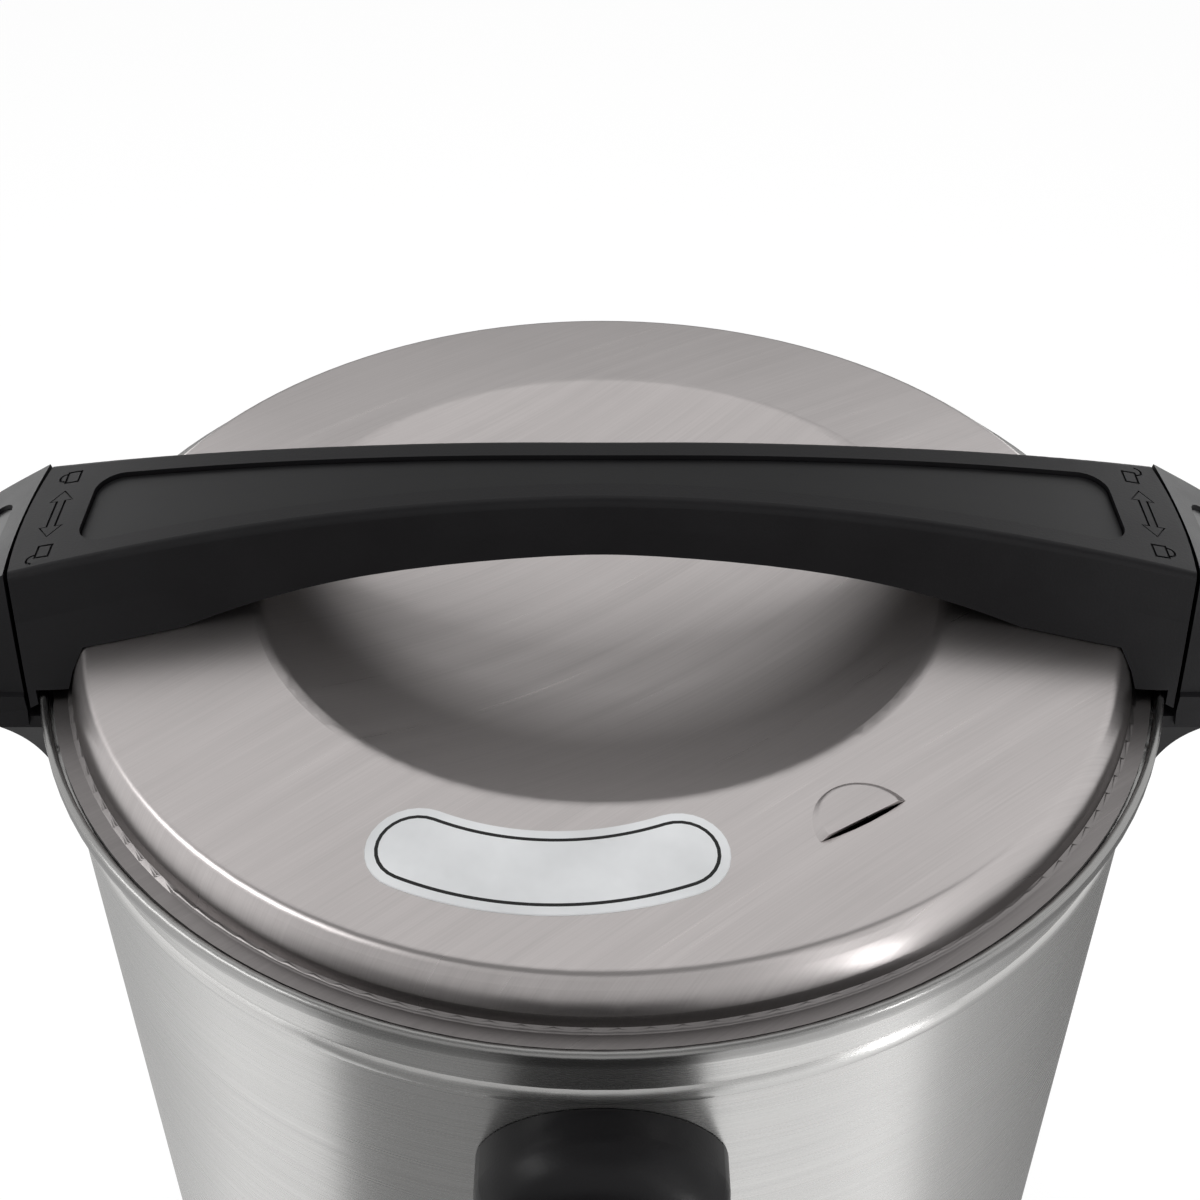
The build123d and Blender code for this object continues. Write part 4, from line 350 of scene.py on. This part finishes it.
def moulded_group():
    """Fine etched texture of moulded plastic."""
    tree, start, end = new_group(
        "moulded_texture", [("Vector", "v", None), ("Size", "f", 0.0006)], [("Height", "f")],
    )
    scale = math_node(tree, "DIVIDE", 1.0, start.outputs["Size"])
    cells = node(
        tree, "ShaderNodeTexVoronoi", {"feature": "SMOOTH_F1"}, Vector=start.outputs["Vector"],
        Scale=scale, Smoothness=0.6,
    )
    noise = node(
        tree, "ShaderNodeTexNoise", Vector=start.outputs["Vector"], Scale=scale, Detail=2.0,
    )
    total = math_node(tree, "ADD", cells.outputs["Distance"], noise.outputs["Fac"])
    tree.links.new(total, end.inputs["Height"])
    return tree


GROUP_MAKERS = {
    "brushed_grain": brush_group,
    "handling_blotches": blotch_group,
    "moulded_texture": moulded_group,
}


def use_group(tree, name, **inputs):
    """Places a shared shader group in a material, building it the first time."""
    made = tree.nodes.new("ShaderNodeGroup")
    made.node_tree = bpy.data.node_groups.get(name) or GROUP_MAKERS[name]()
    for key, value in inputs.items():
        if isinstance(value, bpy.types.NodeSocket):
            tree.links.new(value, made.inputs[key])
        else:
            made.inputs[key].default_value = value
    return made


def new_material(name, color, metallic, roughness, **sockets):
    """Material with one Principled shader and its Object coordinates."""
    mat = bpy.data.materials.new(name)
    mat.use_nodes = True
    tree = mat.node_tree
    shader = tree.nodes["Principled BSDF"]
    shader.inputs["Base Color"].default_value = (*color[:3], 1)
    shader.inputs["Metallic"].default_value = metallic
    shader.inputs["Roughness"].default_value = roughness
    for key, value in sockets.items():
        shader.inputs[key.replace("_", " ")].default_value = value
    coords = tree.nodes.new("ShaderNodeTexCoord").outputs["Object"]
    return mat, tree, shader, coords


def add_bump(tree, shader, height, strength, distance):
    """Bump node on a shader's normal."""
    bump = node(tree, "ShaderNodeBump", Height=height, Strength=strength, Distance=distance)
    tree.links.new(bump.outputs[0], shader.inputs["Normal"])


def tinted(tree, color, factor):
    """Colour multiplied by a factor that changes over the surface."""
    mix = node(
        tree, "ShaderNodeMix", {"data_type": "RGBA", "blend_type": "MULTIPLY"}, _0=1.0,
        _6=(*color[:3], 1), _7=factor,
    )
    return mix.outputs[2]


# ---------------------------------------------------------------- materials
def brushed_steel(
    name, color, roughness, scale, across, stretch, shade_span, shade_tone, turn=0.0, axes=(1, 1, 0),
):
    """Stainless steel scratched along one direction; its gloss spreads in the direction across.

    Painted shade darkens it to the shade tone between the start and end of the shade span,
    measured along the axes, where the seam's trough and hem lie in shade.
    """
    mat, tree, shader, coords = new_material(name, color, 1.0, roughness, Anisotropic=stretch)
    spots = node(tree, "ShaderNodeMapping", Vector=coords, Rotation=(0, 0, -turn)).outputs[0]
    grain = use_group(tree, "brushed_grain", Vector=spots, Scale=scale)
    patches = use_group(tree, "handling_blotches", Vector=coords, Size=0.05, Low=0.97, High=1.03)
    tone = node(
        tree, "ShaderNodeMapRange", Value=grain.outputs["Tone"], _1=NOISE_LOW, _2=NOISE_HIGH,
        _3=0.93, _4=1.06,
    )
    total = math_node(tree, "MULTIPLY", tone.outputs[0], patches.outputs[0])
    # painted shade: the base colour darkens towards the seam, standing in for the shade in the
    # trough and on the hem
    along = node(tree, "ShaderNodeVectorMath", {"operation": "MULTIPLY"}, _0=coords, _1=axes)
    reach = node(tree, "ShaderNodeVectorMath", {"operation": "LENGTH"}, _0=along.outputs[0])
    painted_seam_shade = node(
        tree, "ShaderNodeMapRange", {"interpolation_type": "SMOOTHSTEP"},
        Value=reach.outputs["Value"], _1=shade_span[0], _2=shade_span[1], _3=1.0, _4=shade_tone,
    )
    total = math_node(tree, "MULTIPLY", total, painted_seam_shade.outputs[0])
    tree.links.new(tinted(tree, color, total), shader.inputs["Base Color"])
    rough = node(
        tree, "ShaderNodeMapRange", Value=grain.outputs["Tone"], _1=NOISE_LOW, _2=NOISE_HIGH,
        _3=roughness * 1.10, _4=roughness * 0.90,
    )
    tree.links.new(rough.outputs[0], shader.inputs["Roughness"])
    add_bump(tree, shader, grain.outputs["Height"], 0.3, BRUSH_DEPTH)
    turned = node(
        tree, "ShaderNodeVectorTransform",
        {"vector_type": "VECTOR", "convert_from": "OBJECT", "convert_to": "WORLD"}, Vector=across,
    )
    tree.links.new(turned.outputs[0], shader.inputs["Tangent"])
    return mat


def satin_steel(name, color, roughness):
    """Plain satin steel of pressed and turned pieces."""
    mat, tree, shader, coords = new_material(name, color, 1.0, roughness)
    patches = use_group(tree, "handling_blotches", Vector=coords, Size=0.012, Low=0.9, High=1.06)
    tree.links.new(tinted(tree, color, patches.outputs[0]), shader.inputs["Base Color"])
    rough = math_node(tree, "MULTIPLY", patches.outputs[0], roughness)
    tree.links.new(rough, shader.inputs["Roughness"])
    grain = use_group(tree, "brushed_grain", Vector=coords, Scale=(900, 900, 2500))
    add_bump(tree, shader, grain.outputs["Height"], 0.2, SATIN_DEPTH)
    return mat


def moulded(name, color, roughness, grain=0.0006, depth=0.25):
    """Moulded plastic or rubber with an etched texture and faint handling marks."""
    mat, tree, shader, coords = new_material(
        name, color, 0.0, roughness, Specular_IOR_Level=PLASTIC_SHINE
    )
    patches = use_group(tree, "handling_blotches", Vector=coords, Size=0.025, Low=0.88, High=1.10)
    tree.links.new(tinted(tree, color, patches.outputs[0]), shader.inputs["Base Color"])
    rough = math_node(tree, "MULTIPLY", patches.outputs[0], roughness, clamp=True)
    tree.links.new(rough, shader.inputs["Roughness"])
    texture = use_group(tree, "moulded_texture", Vector=coords, Size=grain)
    add_bump(tree, shader, texture.outputs["Height"], depth, MOULD_DEPTH)
    return mat


def clear_glass(name, color, roughness=0.02):
    """Clear or tinted glass."""
    mat, tree, shader, coords = new_material(
        name, color, 0.0, roughness, Transmission_Weight=1.0, IOR=1.49
    )
    patches = use_group(tree, "handling_blotches", Vector=coords, Size=0.01, Low=0.0, High=1.0)
    rough = node(
        tree, "ShaderNodeMapRange", Value=patches.outputs[0], _3=roughness, _4=roughness + 0.05,
    )
    tree.links.new(rough.outputs[0], shader.inputs["Roughness"])
    return mat


# ---------------------------------------------------------------- helpers
def paint(names, mat):
    """Gives CAD nodes one material."""
    for name in names:
        slots = NODES[name].data.materials
        slots.clear()
        slots.append(mat)


def add_object(name, data):
    """Object at the origin, linked to the scene."""
    obj = bpy.data.objects.new(name, data)
    bpy.context.scene.collection.objects.link(obj)
    return obj


def merge_doubles(source, target):
    """Writes a mesh to another, with the vertices that coincide merged."""
    shape = bmesh.new()
    shape.from_mesh(source)
    bmesh.ops.remove_doubles(shape, verts=shape.verts, dist=MERGE_REACH)
    shape.to_mesh(target)
    shape.free()


def even_normals(names):
    """Weighs the normals of CAD nodes by face area, so that thin faces don't ripple the gloss."""
    for name in names:
        weigh = NODES[name].modifiers.new("even_normals", "WEIGHTED_NORMAL")
        weigh.mode = "FACE_AREA"
        weigh.keep_sharp = True


def lid_height(radius):
    """Height of the lid's plateau at a radius."""
    (inner, high), (outer, low) = PLATEAU_INNER, PLATEAU_OUTER
    return RIM + high - (high - low) * (radius - inner) / (outer - inner)


def bake_tree(name, tree, values, body):
    """Runs a geometry tree on an empty mesh and keeps its result as a plain mesh."""
    holder = add_object(name + "_holder", bpy.data.meshes.new(name + "_holder"))
    modifier = holder.modifiers.new("tree", "NODES")
    modifier.node_group = tree
    for item in tree.interface.items_tree:
        if item.in_out == "INPUT" and item.name in values:
            modifier[item.identifier] = values[item.name]
    bpy.context.view_layer.update()
    evaluated = holder.evaluated_get(bpy.context.evaluated_depsgraph_get())
    mesh = bpy.data.meshes.new_from_object(evaluated)
    mesh.name = name
    bpy.data.objects.remove(holder)
    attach(add_object(name, mesh), body)


# ---------------------------------------------------------------- operators
class URN_OT_tank(bpy.types.Operator):
    """Brushed tank wall, tank floor and the heating parts under it"""

    bl_idname = "urn.tank"
    bl_label = "Tank and heating"

    def execute(self, context):
        metal = context.scene.urn_metal
        # the wall's top darkens with painted shade near the rim seam
        wall = brushed_steel(
            "wall_steel", metal.wall_color, metal.wall_roughness, (14, 14, 2600), (0, 0, 1),
            stretch=0.8, shade_span=WALL_SEAM_SHADE, shade_tone=0.55, axes=(0, 0, 1),
        )
        paint(["body_shell"], wall)
        paint(["tank_floor"], satin_steel("floor_steel", metal.wall_color, 0.30))
        paint(
            ["heat_spreader", "well_heater"],
            satin_steel("cast_aluminium", (0.70, 0.70, 0.71), 0.45),
        )
        paint(["heating_element"], satin_steel("element_sheath", (0.33, 0.30, 0.28), 0.5))
        paint(
            ["thermostat", "thermal_cutout"],
            satin_steel("switch_case", (0.55, 0.53, 0.50), 0.38),
        )
        return {"FINISHED"}


class URN_OT_lid(bpy.types.Operator):
    """Brushed lid, its skirt and its seal"""

    bl_idname = "urn.lid"
    bl_label = "Lid"

    def execute(self, context):
        metal = context.scene.urn_metal
        turn = metal.grain_turn
        # the lid's outer edge darkens with painted shade near the rim seam
        lid = brushed_steel(
            "lid_steel", metal.lid_color, metal.lid_roughness, (26, 2800, 26),
            (-math.sin(turn), math.cos(turn), 0), stretch=0.5, shade_span=LID_SEAM_SHADE, shade_tone=0.45,
            turn=turn,
        )
        paint(["lid_shell"], lid)
        even_normals(["lid_shell"])
        paint(["lid_skirt"], satin_steel("skirt_steel", metal.lid_color, 0.32))
        paint(
            ["lid_seal", "lid_washers"],
            moulded("seal_silicone", (0.030, 0.030, 0.031), 0.55, 0.0008, 0.1),
        )
        return {"FINISHED"}


class URN_OT_handles(bpy.types.Operator):
    """Lid handle and side handles with their inlays"""

    bl_idname = "urn.handles"
    bl_label = "Handles"

    def execute(self, context):
        plastic = context.scene.urn_plastic
        black = moulded("handle_moulding", plastic.moulding_color, plastic.moulding_roughness)
        inlay = moulded("handle_inlay", plastic.inlay_color, plastic.inlay_roughness, 0.0004, 0.12)
        paint(["lid_handle", "side_handle_right", "side_handle_left"], black)
        paint(["lid_handle_inlay", "side_inlay_right", "side_inlay_left"], inlay)
        return {"FINISHED"}


class URN_OT_column(bpy.types.Operator):
    """Gauge column, sight tube and its fittings"""

    bl_idname = "urn.column"
    bl_label = "Gauge column"

    def execute(self, context):
        plastic = context.scene.urn_plastic
        black = moulded("column_moulding", plastic.moulding_color, 0.36)
        paint(["gauge_column"], black)
        paint(["level_scale"], moulded("scale_strip", (0.80, 0.80, 0.78), 0.5, 0.0005, 0.05))
        paint(["sight_tube"], clear_glass("tube_glass", (0.97, 0.99, 0.98)))
        paint(
            ["tube_cap", "column_seal"],
            moulded("cap_silicone", (0.03, 0.03, 0.03), 0.6, 0.0007, 0.1),
        )
        paint(["gauge_tee"], moulded("tee_moulding", (0.05, 0.05, 0.052), 0.35, 0.0005, 0.1))
        return {"FINISHED"}


class URN_OT_tap(bpy.types.Operator):
    """Tap with its lever, stem, spring and seat"""

    bl_idname = "urn.tap"
    bl_label = "Tap"

    def execute(self, context):
        plastic = context.scene.urn_plastic
        gloss = moulded("tap_moulding", plastic.inlay_color, 0.28, 0.0005, 0.08)
        paint(["tap_body", "tap_bonnet", "tap_nut"], gloss)
        paint(["tap_lever"], moulded("lever_moulding", plastic.moulding_color, 0.40))
        paint(
            ["seat_cup", "tap_washers"],
            moulded("seat_silicone", (0.05, 0.05, 0.05), 0.6, 0.0008, 0.1),
        )
        turned = satin_steel("turned_steel", (0.62, 0.61, 0.60), 0.22)
        paint(["lever_pin", "tap_stem"], turned)
        # the spring stays under the bonnet
        mesh = bpy.data.meshes.new("tap_spring_coil")
        merge_doubles(NODES["tap_spring"].data, mesh)
        mesh.materials.append(turned)
        mesh.shade_smooth()
        coil = add_object("tap_spring_coil", mesh)
        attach(coil, "urn")
        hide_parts("tap_spring")
        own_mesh(coil)
        return {"FINISHED"}


class URN_OT_brewing(bpy.types.Operator):
    """Pump tube, pump foot, basket and spreader"""

    bl_idname = "urn.brewing"
    bl_label = "Brewing set"

    def execute(self, context):
        names = ["pump_tube", "pump_foot", "pump_valve", "coffee_basket", "basket_spreader"]
        paint(names, satin_steel("brewing_steel", (0.66, 0.65, 0.64), 0.26))
        return {"FINISHED"}


class URN_OT_base(bpy.types.Operator):
    """Base housing, plate, feet, control panel, inlet and wiring"""

    bl_idname = "urn.base"
    bl_label = "Base"

    def execute(self, context):
        plastic = context.scene.urn_plastic
        paint(["base_housing"], moulded("base_moulding", plastic.moulding_color, 0.42))
        even_normals(["base_housing"])
        paint(["base_plate"], moulded("plate_paint", (0.03, 0.03, 0.03), 0.45, 0.0010, 0.2))
        paint(["rubber_feet"], moulded("foot_rubber", (0.025, 0.025, 0.025), 0.8, 0.0010, 0.3))
        paint(
            ["control_panel", "power_inlet"],
            moulded("panel_moulding", plastic.inlay_color, 0.33, 0.0005, 0.15),
        )
        paint(
            ["switch_body", "switch_rocker"],
            moulded("switch_moulding", (0.018, 0.018, 0.018), 0.3, 0.0006, 0.05),
        )
        paint(["power_lamp"], clear_glass("red_lens", (0.75, 0.03, 0.02), 0.12))
        paint(["ready_lamp"], clear_glass("amber_lens", (0.90, 0.35, 0.02), 0.12))
        paint(["inlet_pins"], satin_steel("plated_brass", (0.72, 0.66, 0.50), 0.25))
        paint(["terminal_block"], moulded("block_nylon", (0.72, 0.71, 0.66), 0.45, 0.0006, 0.1))
        paint(["lead_wires"], moulded("lead_sleeving", (0.62, 0.60, 0.55), 0.7, 0.0005, 0.4))
        return {"FINISHED"}


class URN_OT_fasteners(bpy.types.Operator):
    """Screws, nuts, studs and their seals"""

    bl_idname = "urn.fasteners"
    bl_label = "Fasteners"

    def execute(self, context):
        names = [
            "lid_screws", "handle_screws", "handle_nuts", "column_screw", "plate_screws",
            "floor_studs", "stud_nuts",
        ]
        paint(names, satin_steel("screw_steel", (0.58, 0.57, 0.56), 0.24))
        paint(["handle_seals"], moulded("screw_silicone", (0.04, 0.04, 0.04), 0.6, 0.0008, 0.1))
        return {"FINISHED"}


class URN_OT_label(bpy.types.Operator):
    """Blank kidney-shaped plate with a printed line along its edge"""

    bl_idname = "urn.label"
    bl_label = "Lid label"

    def execute(self, context):
        label = context.scene.urn_label
        half = label.half_width
        line_end = label.border + label.line
        # rings from the middle of the underside round the edge to the middle of the top
        insets = [half, 0.0, LABEL_EDGE, label.border, line_end, (line_end + half) / 2, half]
        lifts = [0.0, 0.0] + [label.thickness] * (len(insets) - 2)
        # each point of a ring: turn along the middle line, and how far along and outward
        ring = []
        for side in (1, -1):
            for step in range(LABEL_SIDE_STEPS + 1):
                share = 2 * step / LABEL_SIDE_STEPS - 1
                ring.append((side * label.half_turn * share, 0.0, side))
            for step in range(1, LABEL_END_STEPS):
                swing = math.pi * step / LABEL_END_STEPS
                ring.append(
                    (side * label.half_turn, side * math.sin(swing), side * math.cos(swing))
                )
        verts = []
        middle_x = label.place[0] - label.bend * math.sin(label.tilt)
        middle_y = label.place[1] + label.bend * math.cos(label.tilt)
        for inset, lift in zip(insets, lifts):
            for swing, along, outward in ring:
                turn = swing + label.tilt
                radius = label.bend + outward * (half - inset)
                x = middle_x + radius * math.sin(turn) + along * (half - inset) * math.cos(turn)
                y = middle_y - radius * math.cos(turn) + along * (half - inset) * math.sin(turn)
                verts.append((x, y, lid_height(math.hypot(x, y)) + LABEL_GAP + lift))
        count = len(ring)
        faces, slots = [], []
        for band in range(len(insets) - 1):
            for k in range(count):
                n = (k + 1) % count
                a, b = band * count, (band + 1) * count
                faces.append((a + k, a + n, b + n, b + k))
                slots.append(1 if band == LABEL_LINE_BAND else 0)
        mesh = bpy.data.meshes.new("lid_label")
        mesh.from_pydata(verts, [], faces)
        mesh.materials.append(moulded("label_face", (0.66, 0.67, 0.68), 0.42, 0.0008, 0.03))
        mesh.materials.append(moulded("label_ink", (0.015, 0.015, 0.015), 0.45, 0.0006, 0.03))
        mesh.polygons.foreach_set("material_index", slots)
        merge_doubles(mesh, mesh)
        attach(add_object("lid_label", mesh), "lid")
        return {"FINISHED"}


class URN_OT_gauge_marks(bpy.types.Operator):
    """Level marks printed on the column beside the window"""

    bl_idname = "urn.gauge_marks"
    bl_label = "Gauge marks"

    def execute(self, context):
        gauge = context.scene.urn_gauge
        tree = bpy.data.node_groups.new("level_marks", "GeometryNodeTree")
        tree.is_modifier = True
        sockets = tree.interface
        for label, kind, default in (
            ("Geometry", "NodeSocketGeometry", None), ("Marks", "NodeSocketInt", gauge.marks),
            ("Low", "NodeSocketFloat", gauge.low), ("High", "NodeSocketFloat", gauge.high),
            ("Length", "NodeSocketFloat", gauge.mark_length),
            ("Width", "NodeSocketFloat", gauge.mark_width),
            ("Left", "NodeSocketFloat", gauge.left), ("Face", "NodeSocketFloat", gauge.face),
            ("Ink", "NodeSocketMaterial", None),
        ):
            item = sockets.new_socket(label, in_out="INPUT", socket_type=kind)
            if default is not None:
                item.default_value = default
        sockets.new_socket("Geometry", in_out="OUTPUT", socket_type="NodeSocketGeometry")
        start = tree.nodes.new("NodeGroupInput")
        end = tree.nodes.new("NodeGroupOutput")
        low = node(tree, "ShaderNodeCombineXYZ", Z=start.outputs["Low"])
        high = node(tree, "ShaderNodeCombineXYZ", Z=start.outputs["High"])
        line = node(
            tree, "GeometryNodeMeshLine", {"mode": "END_POINTS"}, Count=start.outputs["Marks"],
            Start_Location=low.outputs[0], _3=high.outputs[0],
        )
        index = tree.nodes.new("GeometryNodeInputIndex")
        place = math_node(tree, "MODULO", index.outputs[0], LONG_EVERY)
        longer = math_node(tree, "ADD", math_node(tree, "LESS_THAN", place, 0.5), 1.0)
        length = start.outputs["Length"]
        size = node(
            tree, "ShaderNodeCombineXYZ", X=length, Y=MARK_DEPTH, Z=start.outputs["Width"],
        )
        bar = node(tree, "GeometryNodeMeshCube", Size=size.outputs[0])
        stretch = node(tree, "ShaderNodeCombineXYZ", X=longer, Y=1.0, Z=1.0)
        marks = node(
            tree, "GeometryNodeInstanceOnPoints", Points=line.outputs["Mesh"],
            Instance=bar.outputs["Mesh"], Scale=stretch.outputs[0],
        )
        half = math_node(tree, "MULTIPLY", math_node(tree, "MULTIPLY", length, longer), 0.5)
        across = math_node(tree, "ADD", start.outputs["Left"], half)
        depth = math_node(tree, "MULTIPLY", start.outputs["Face"], -1.0)
        shift = node(tree, "ShaderNodeCombineXYZ", X=across, Y=depth)
        moved = node(
            tree, "GeometryNodeTranslateInstances", Instances=marks.outputs[0],
            Translation=shift.outputs[0], Local_Space=False,
        )
        real = node(tree, "GeometryNodeRealizeInstances", Geometry=moved.outputs[0])
        inked = node(
            tree, "GeometryNodeSetMaterial", Geometry=real.outputs[0],
            Material=start.outputs["Ink"],
        )
        tree.links.new(inked.outputs[0], end.inputs["Geometry"])
        ink = moulded("mark_ink", (0.75, 0.75, 0.74), 0.5, 0.0006, 0.03)
        bake_tree("gauge_marks", tree, {"Ink": ink}, "urn")
        return {"FINISHED"}


# ---------------------------------------------------------------- studio
def stage_mesh(name, verts, faces):
    """Plain mesh object for the studio."""
    mesh = bpy.data.meshes.new(name)
    mesh.from_pydata(verts, [], faces)
    return add_object(name, mesh)


def seen_ray(tree):
    """1 for rays that see the backdrop: from the camera, off a gloss or through glass."""
    path = tree.nodes.new("ShaderNodeLightPath")
    shiny = math_node(
        tree, "MAXIMUM", path.outputs["Is Glossy Ray"], path.outputs["Is Transmission Ray"]
    )
    return math_node(tree, "MAXIMUM", path.outputs["Is Camera Ray"], shiny)


def soft_box(name, place, target, size, power, glossy):
    """Rectangular area lamp aimed at a point, hidden from the camera."""
    lamp = bpy.data.lights.new(name, "AREA")
    lamp.shape = "RECTANGLE"
    lamp.size, lamp.size_y = size
    lamp.energy = power
    obj = add_object(name, lamp)
    obj.location = place
    obj.rotation_euler = (Vector(target) - Vector(place)).to_track_quat("-Z", "Y").to_euler()
    obj.visible_camera = False
    obj.visible_glossy = glossy


def card(name, knots, inner, outer, low, high):
    """Grey card round the urn that only its gloss sees: level from inner to outer, then upright.

    Each knot is a direction in degrees from the front, positive towards +X, and a grey level.
    """
    section = ((inner, low), (outer, low), (outer, high))
    verts, faces, levels = [], [], []
    for (first, dark), (last, light) in zip(knots, knots[1:]):
        steps = max(1, round((last - first) / CARD_STEP))
        for step in range(steps + (last == knots[-1][0])):
            share = step / steps
            turn = math.radians(first + (last - first) * share)
            verts += [(r * math.sin(turn), -r * math.cos(turn), z) for r, z in section]
            levels += [dark + (light - dark) * share] * 3
    for a in range(0, len(verts) - 3, 3):
        faces += [(a, a + 1, a + 4, a + 3), (a + 1, a + 2, a + 5, a + 4)]
    obj = stage_mesh(name, verts, faces)
    obj.location.z = CARD_LIFT
    obj.data.attributes.new("level", "FLOAT", "POINT").data.foreach_set("value", levels)
    mat = bpy.data.materials.new(name)
    mat.use_nodes = True
    tree = mat.node_tree
    grey = node(tree, "ShaderNodeAttribute", {"attribute_name": "level"})
    glow = node(tree, "ShaderNodeEmission", Color=(1, 1, 1, 1), Strength=grey.outputs["Fac"])
    tree.links.new(glow.outputs[0], tree.nodes["Material Output"].inputs["Surface"])
    obj.data.materials.append(mat)
    for ray in ("camera", "diffuse", "transmission", "volume_scatter", "shadow"):
        setattr(obj, "visible_" + ray, False)


class URN_OT_stage(bpy.types.Operator):
    """Floor, lamps, world and camera"""

    bl_idname = "urn.stage"
    bl_label = "Stage"

    def execute(self, context):
        scene = context.scene
        stage = scene.urn_stage
        scene.view_settings.view_transform = "Standard"
        cam = bpy.data.cameras.new("camera")
        cam.lens = stage.lens
        cam.sensor_width = SENSOR_WIDTH
        cam.shift_x = VIEW_SHIFT
        cam.clip_start = 0.01
        camera = add_object("camera", cam)
        camera.location = (0, -stage.camera_back, RIM + stage.camera_rise)
        camera.rotation_euler = (math.pi / 2 - stage.camera_tilt, 0, 0)
        scene.camera = camera
        # floor
        far = FLOOR_REACH
        corners = [(-far, -far, 0), (far, -far, 0), (far, far, 0), (-far, far, 0)]
        floor = stage_mesh("floor", corners, [(0, 1, 2, 3)])
        floor.location.z = -FLOOR_DROP
        mat, tree, shader, _ = new_material("floor_paper", (0.80, 0.80, 0.80), 0.0, 0.9)
        paper = node(tree, "ShaderNodeBsdfDiffuse", Color=(0.24, 0.24, 0.24, 1))
        glow = node(tree, "ShaderNodeEmission", Color=(1, 1, 1, 1), Strength=FLOOR_GLOW)
        both = node(tree, "ShaderNodeAddShader", _0=paper.outputs[0], _1=glow.outputs[0])
        mix = node(
            tree, "ShaderNodeMixShader", _0=seen_ray(tree), _1=shader.outputs[0],
            _2=both.outputs[0],
        )
        tree.links.new(mix.outputs[0], tree.nodes["Material Output"].inputs["Surface"])
        floor.data.materials.append(mat)
        # world
        world = bpy.data.worlds.new("studio")
        world.use_nodes = True
        scene.world = world
        tree = world.node_tree
        back = tree.nodes["Background"]
        back.inputs["Color"].default_value = (1, 1, 1, 1)
        level = node(
            tree, "ShaderNodeMix", {"data_type": "FLOAT"}, _0=seen_ray(tree),
            _2=stage.world_strength, _3=1.0,
        )
        tree.links.new(level.outputs[0], back.inputs["Strength"])
        # lamps, and the cards that the steel reflects
        for lamp in LAMPS:
            soft_box(*lamp)
        for sheet in CARDS:
            card(*sheet)
        return {"FINISHED"}


OPERATORS = (
    URN_OT_tank, URN_OT_lid, URN_OT_handles, URN_OT_column, URN_OT_tap, URN_OT_brewing,
    URN_OT_base, URN_OT_fasteners, URN_OT_label, URN_OT_gauge_marks, URN_OT_stage,
)


class URN_PT_panel(bpy.types.Panel):
    """Sizes, colours and steps of the urn"""

    bl_label = "Coffee urn"
    bl_idname = "URN_PT_panel"
    bl_space_type = "VIEW_3D"
    bl_region_type = "UI"
    bl_category = "Urn"

    def draw(self, context):
        for name in GROUP_NAMES:
            box = self.layout.box()
            values = getattr(context.scene, name)
            for key in values.__annotations__:
                box.prop(values, key)
        for operator in OPERATORS:
            self.layout.operator(operator.bl_idname)


def register():
    for group, name in zip(GROUPS, GROUP_NAMES):
        bpy.utils.register_class(group)
        setattr(bpy.types.Scene, name, PointerProperty(type=group))
    for operator in OPERATORS:
        bpy.utils.register_class(operator)
    bpy.utils.register_class(URN_PT_panel)


def unregister():
    bpy.utils.unregister_class(URN_PT_panel)
    for operator in reversed(OPERATORS):
        bpy.utils.unregister_class(operator)
    for group, name in zip(GROUPS, GROUP_NAMES):
        delattr(bpy.types.Scene, name)
        bpy.utils.unregister_class(group)


def main():
    """Makes every piece in order."""
    register()
    for step in OPERATORS:
        group, name = step.bl_idname.split(".")
        getattr(getattr(bpy.ops, group), name)()


if __name__ == "__main__":
    main()
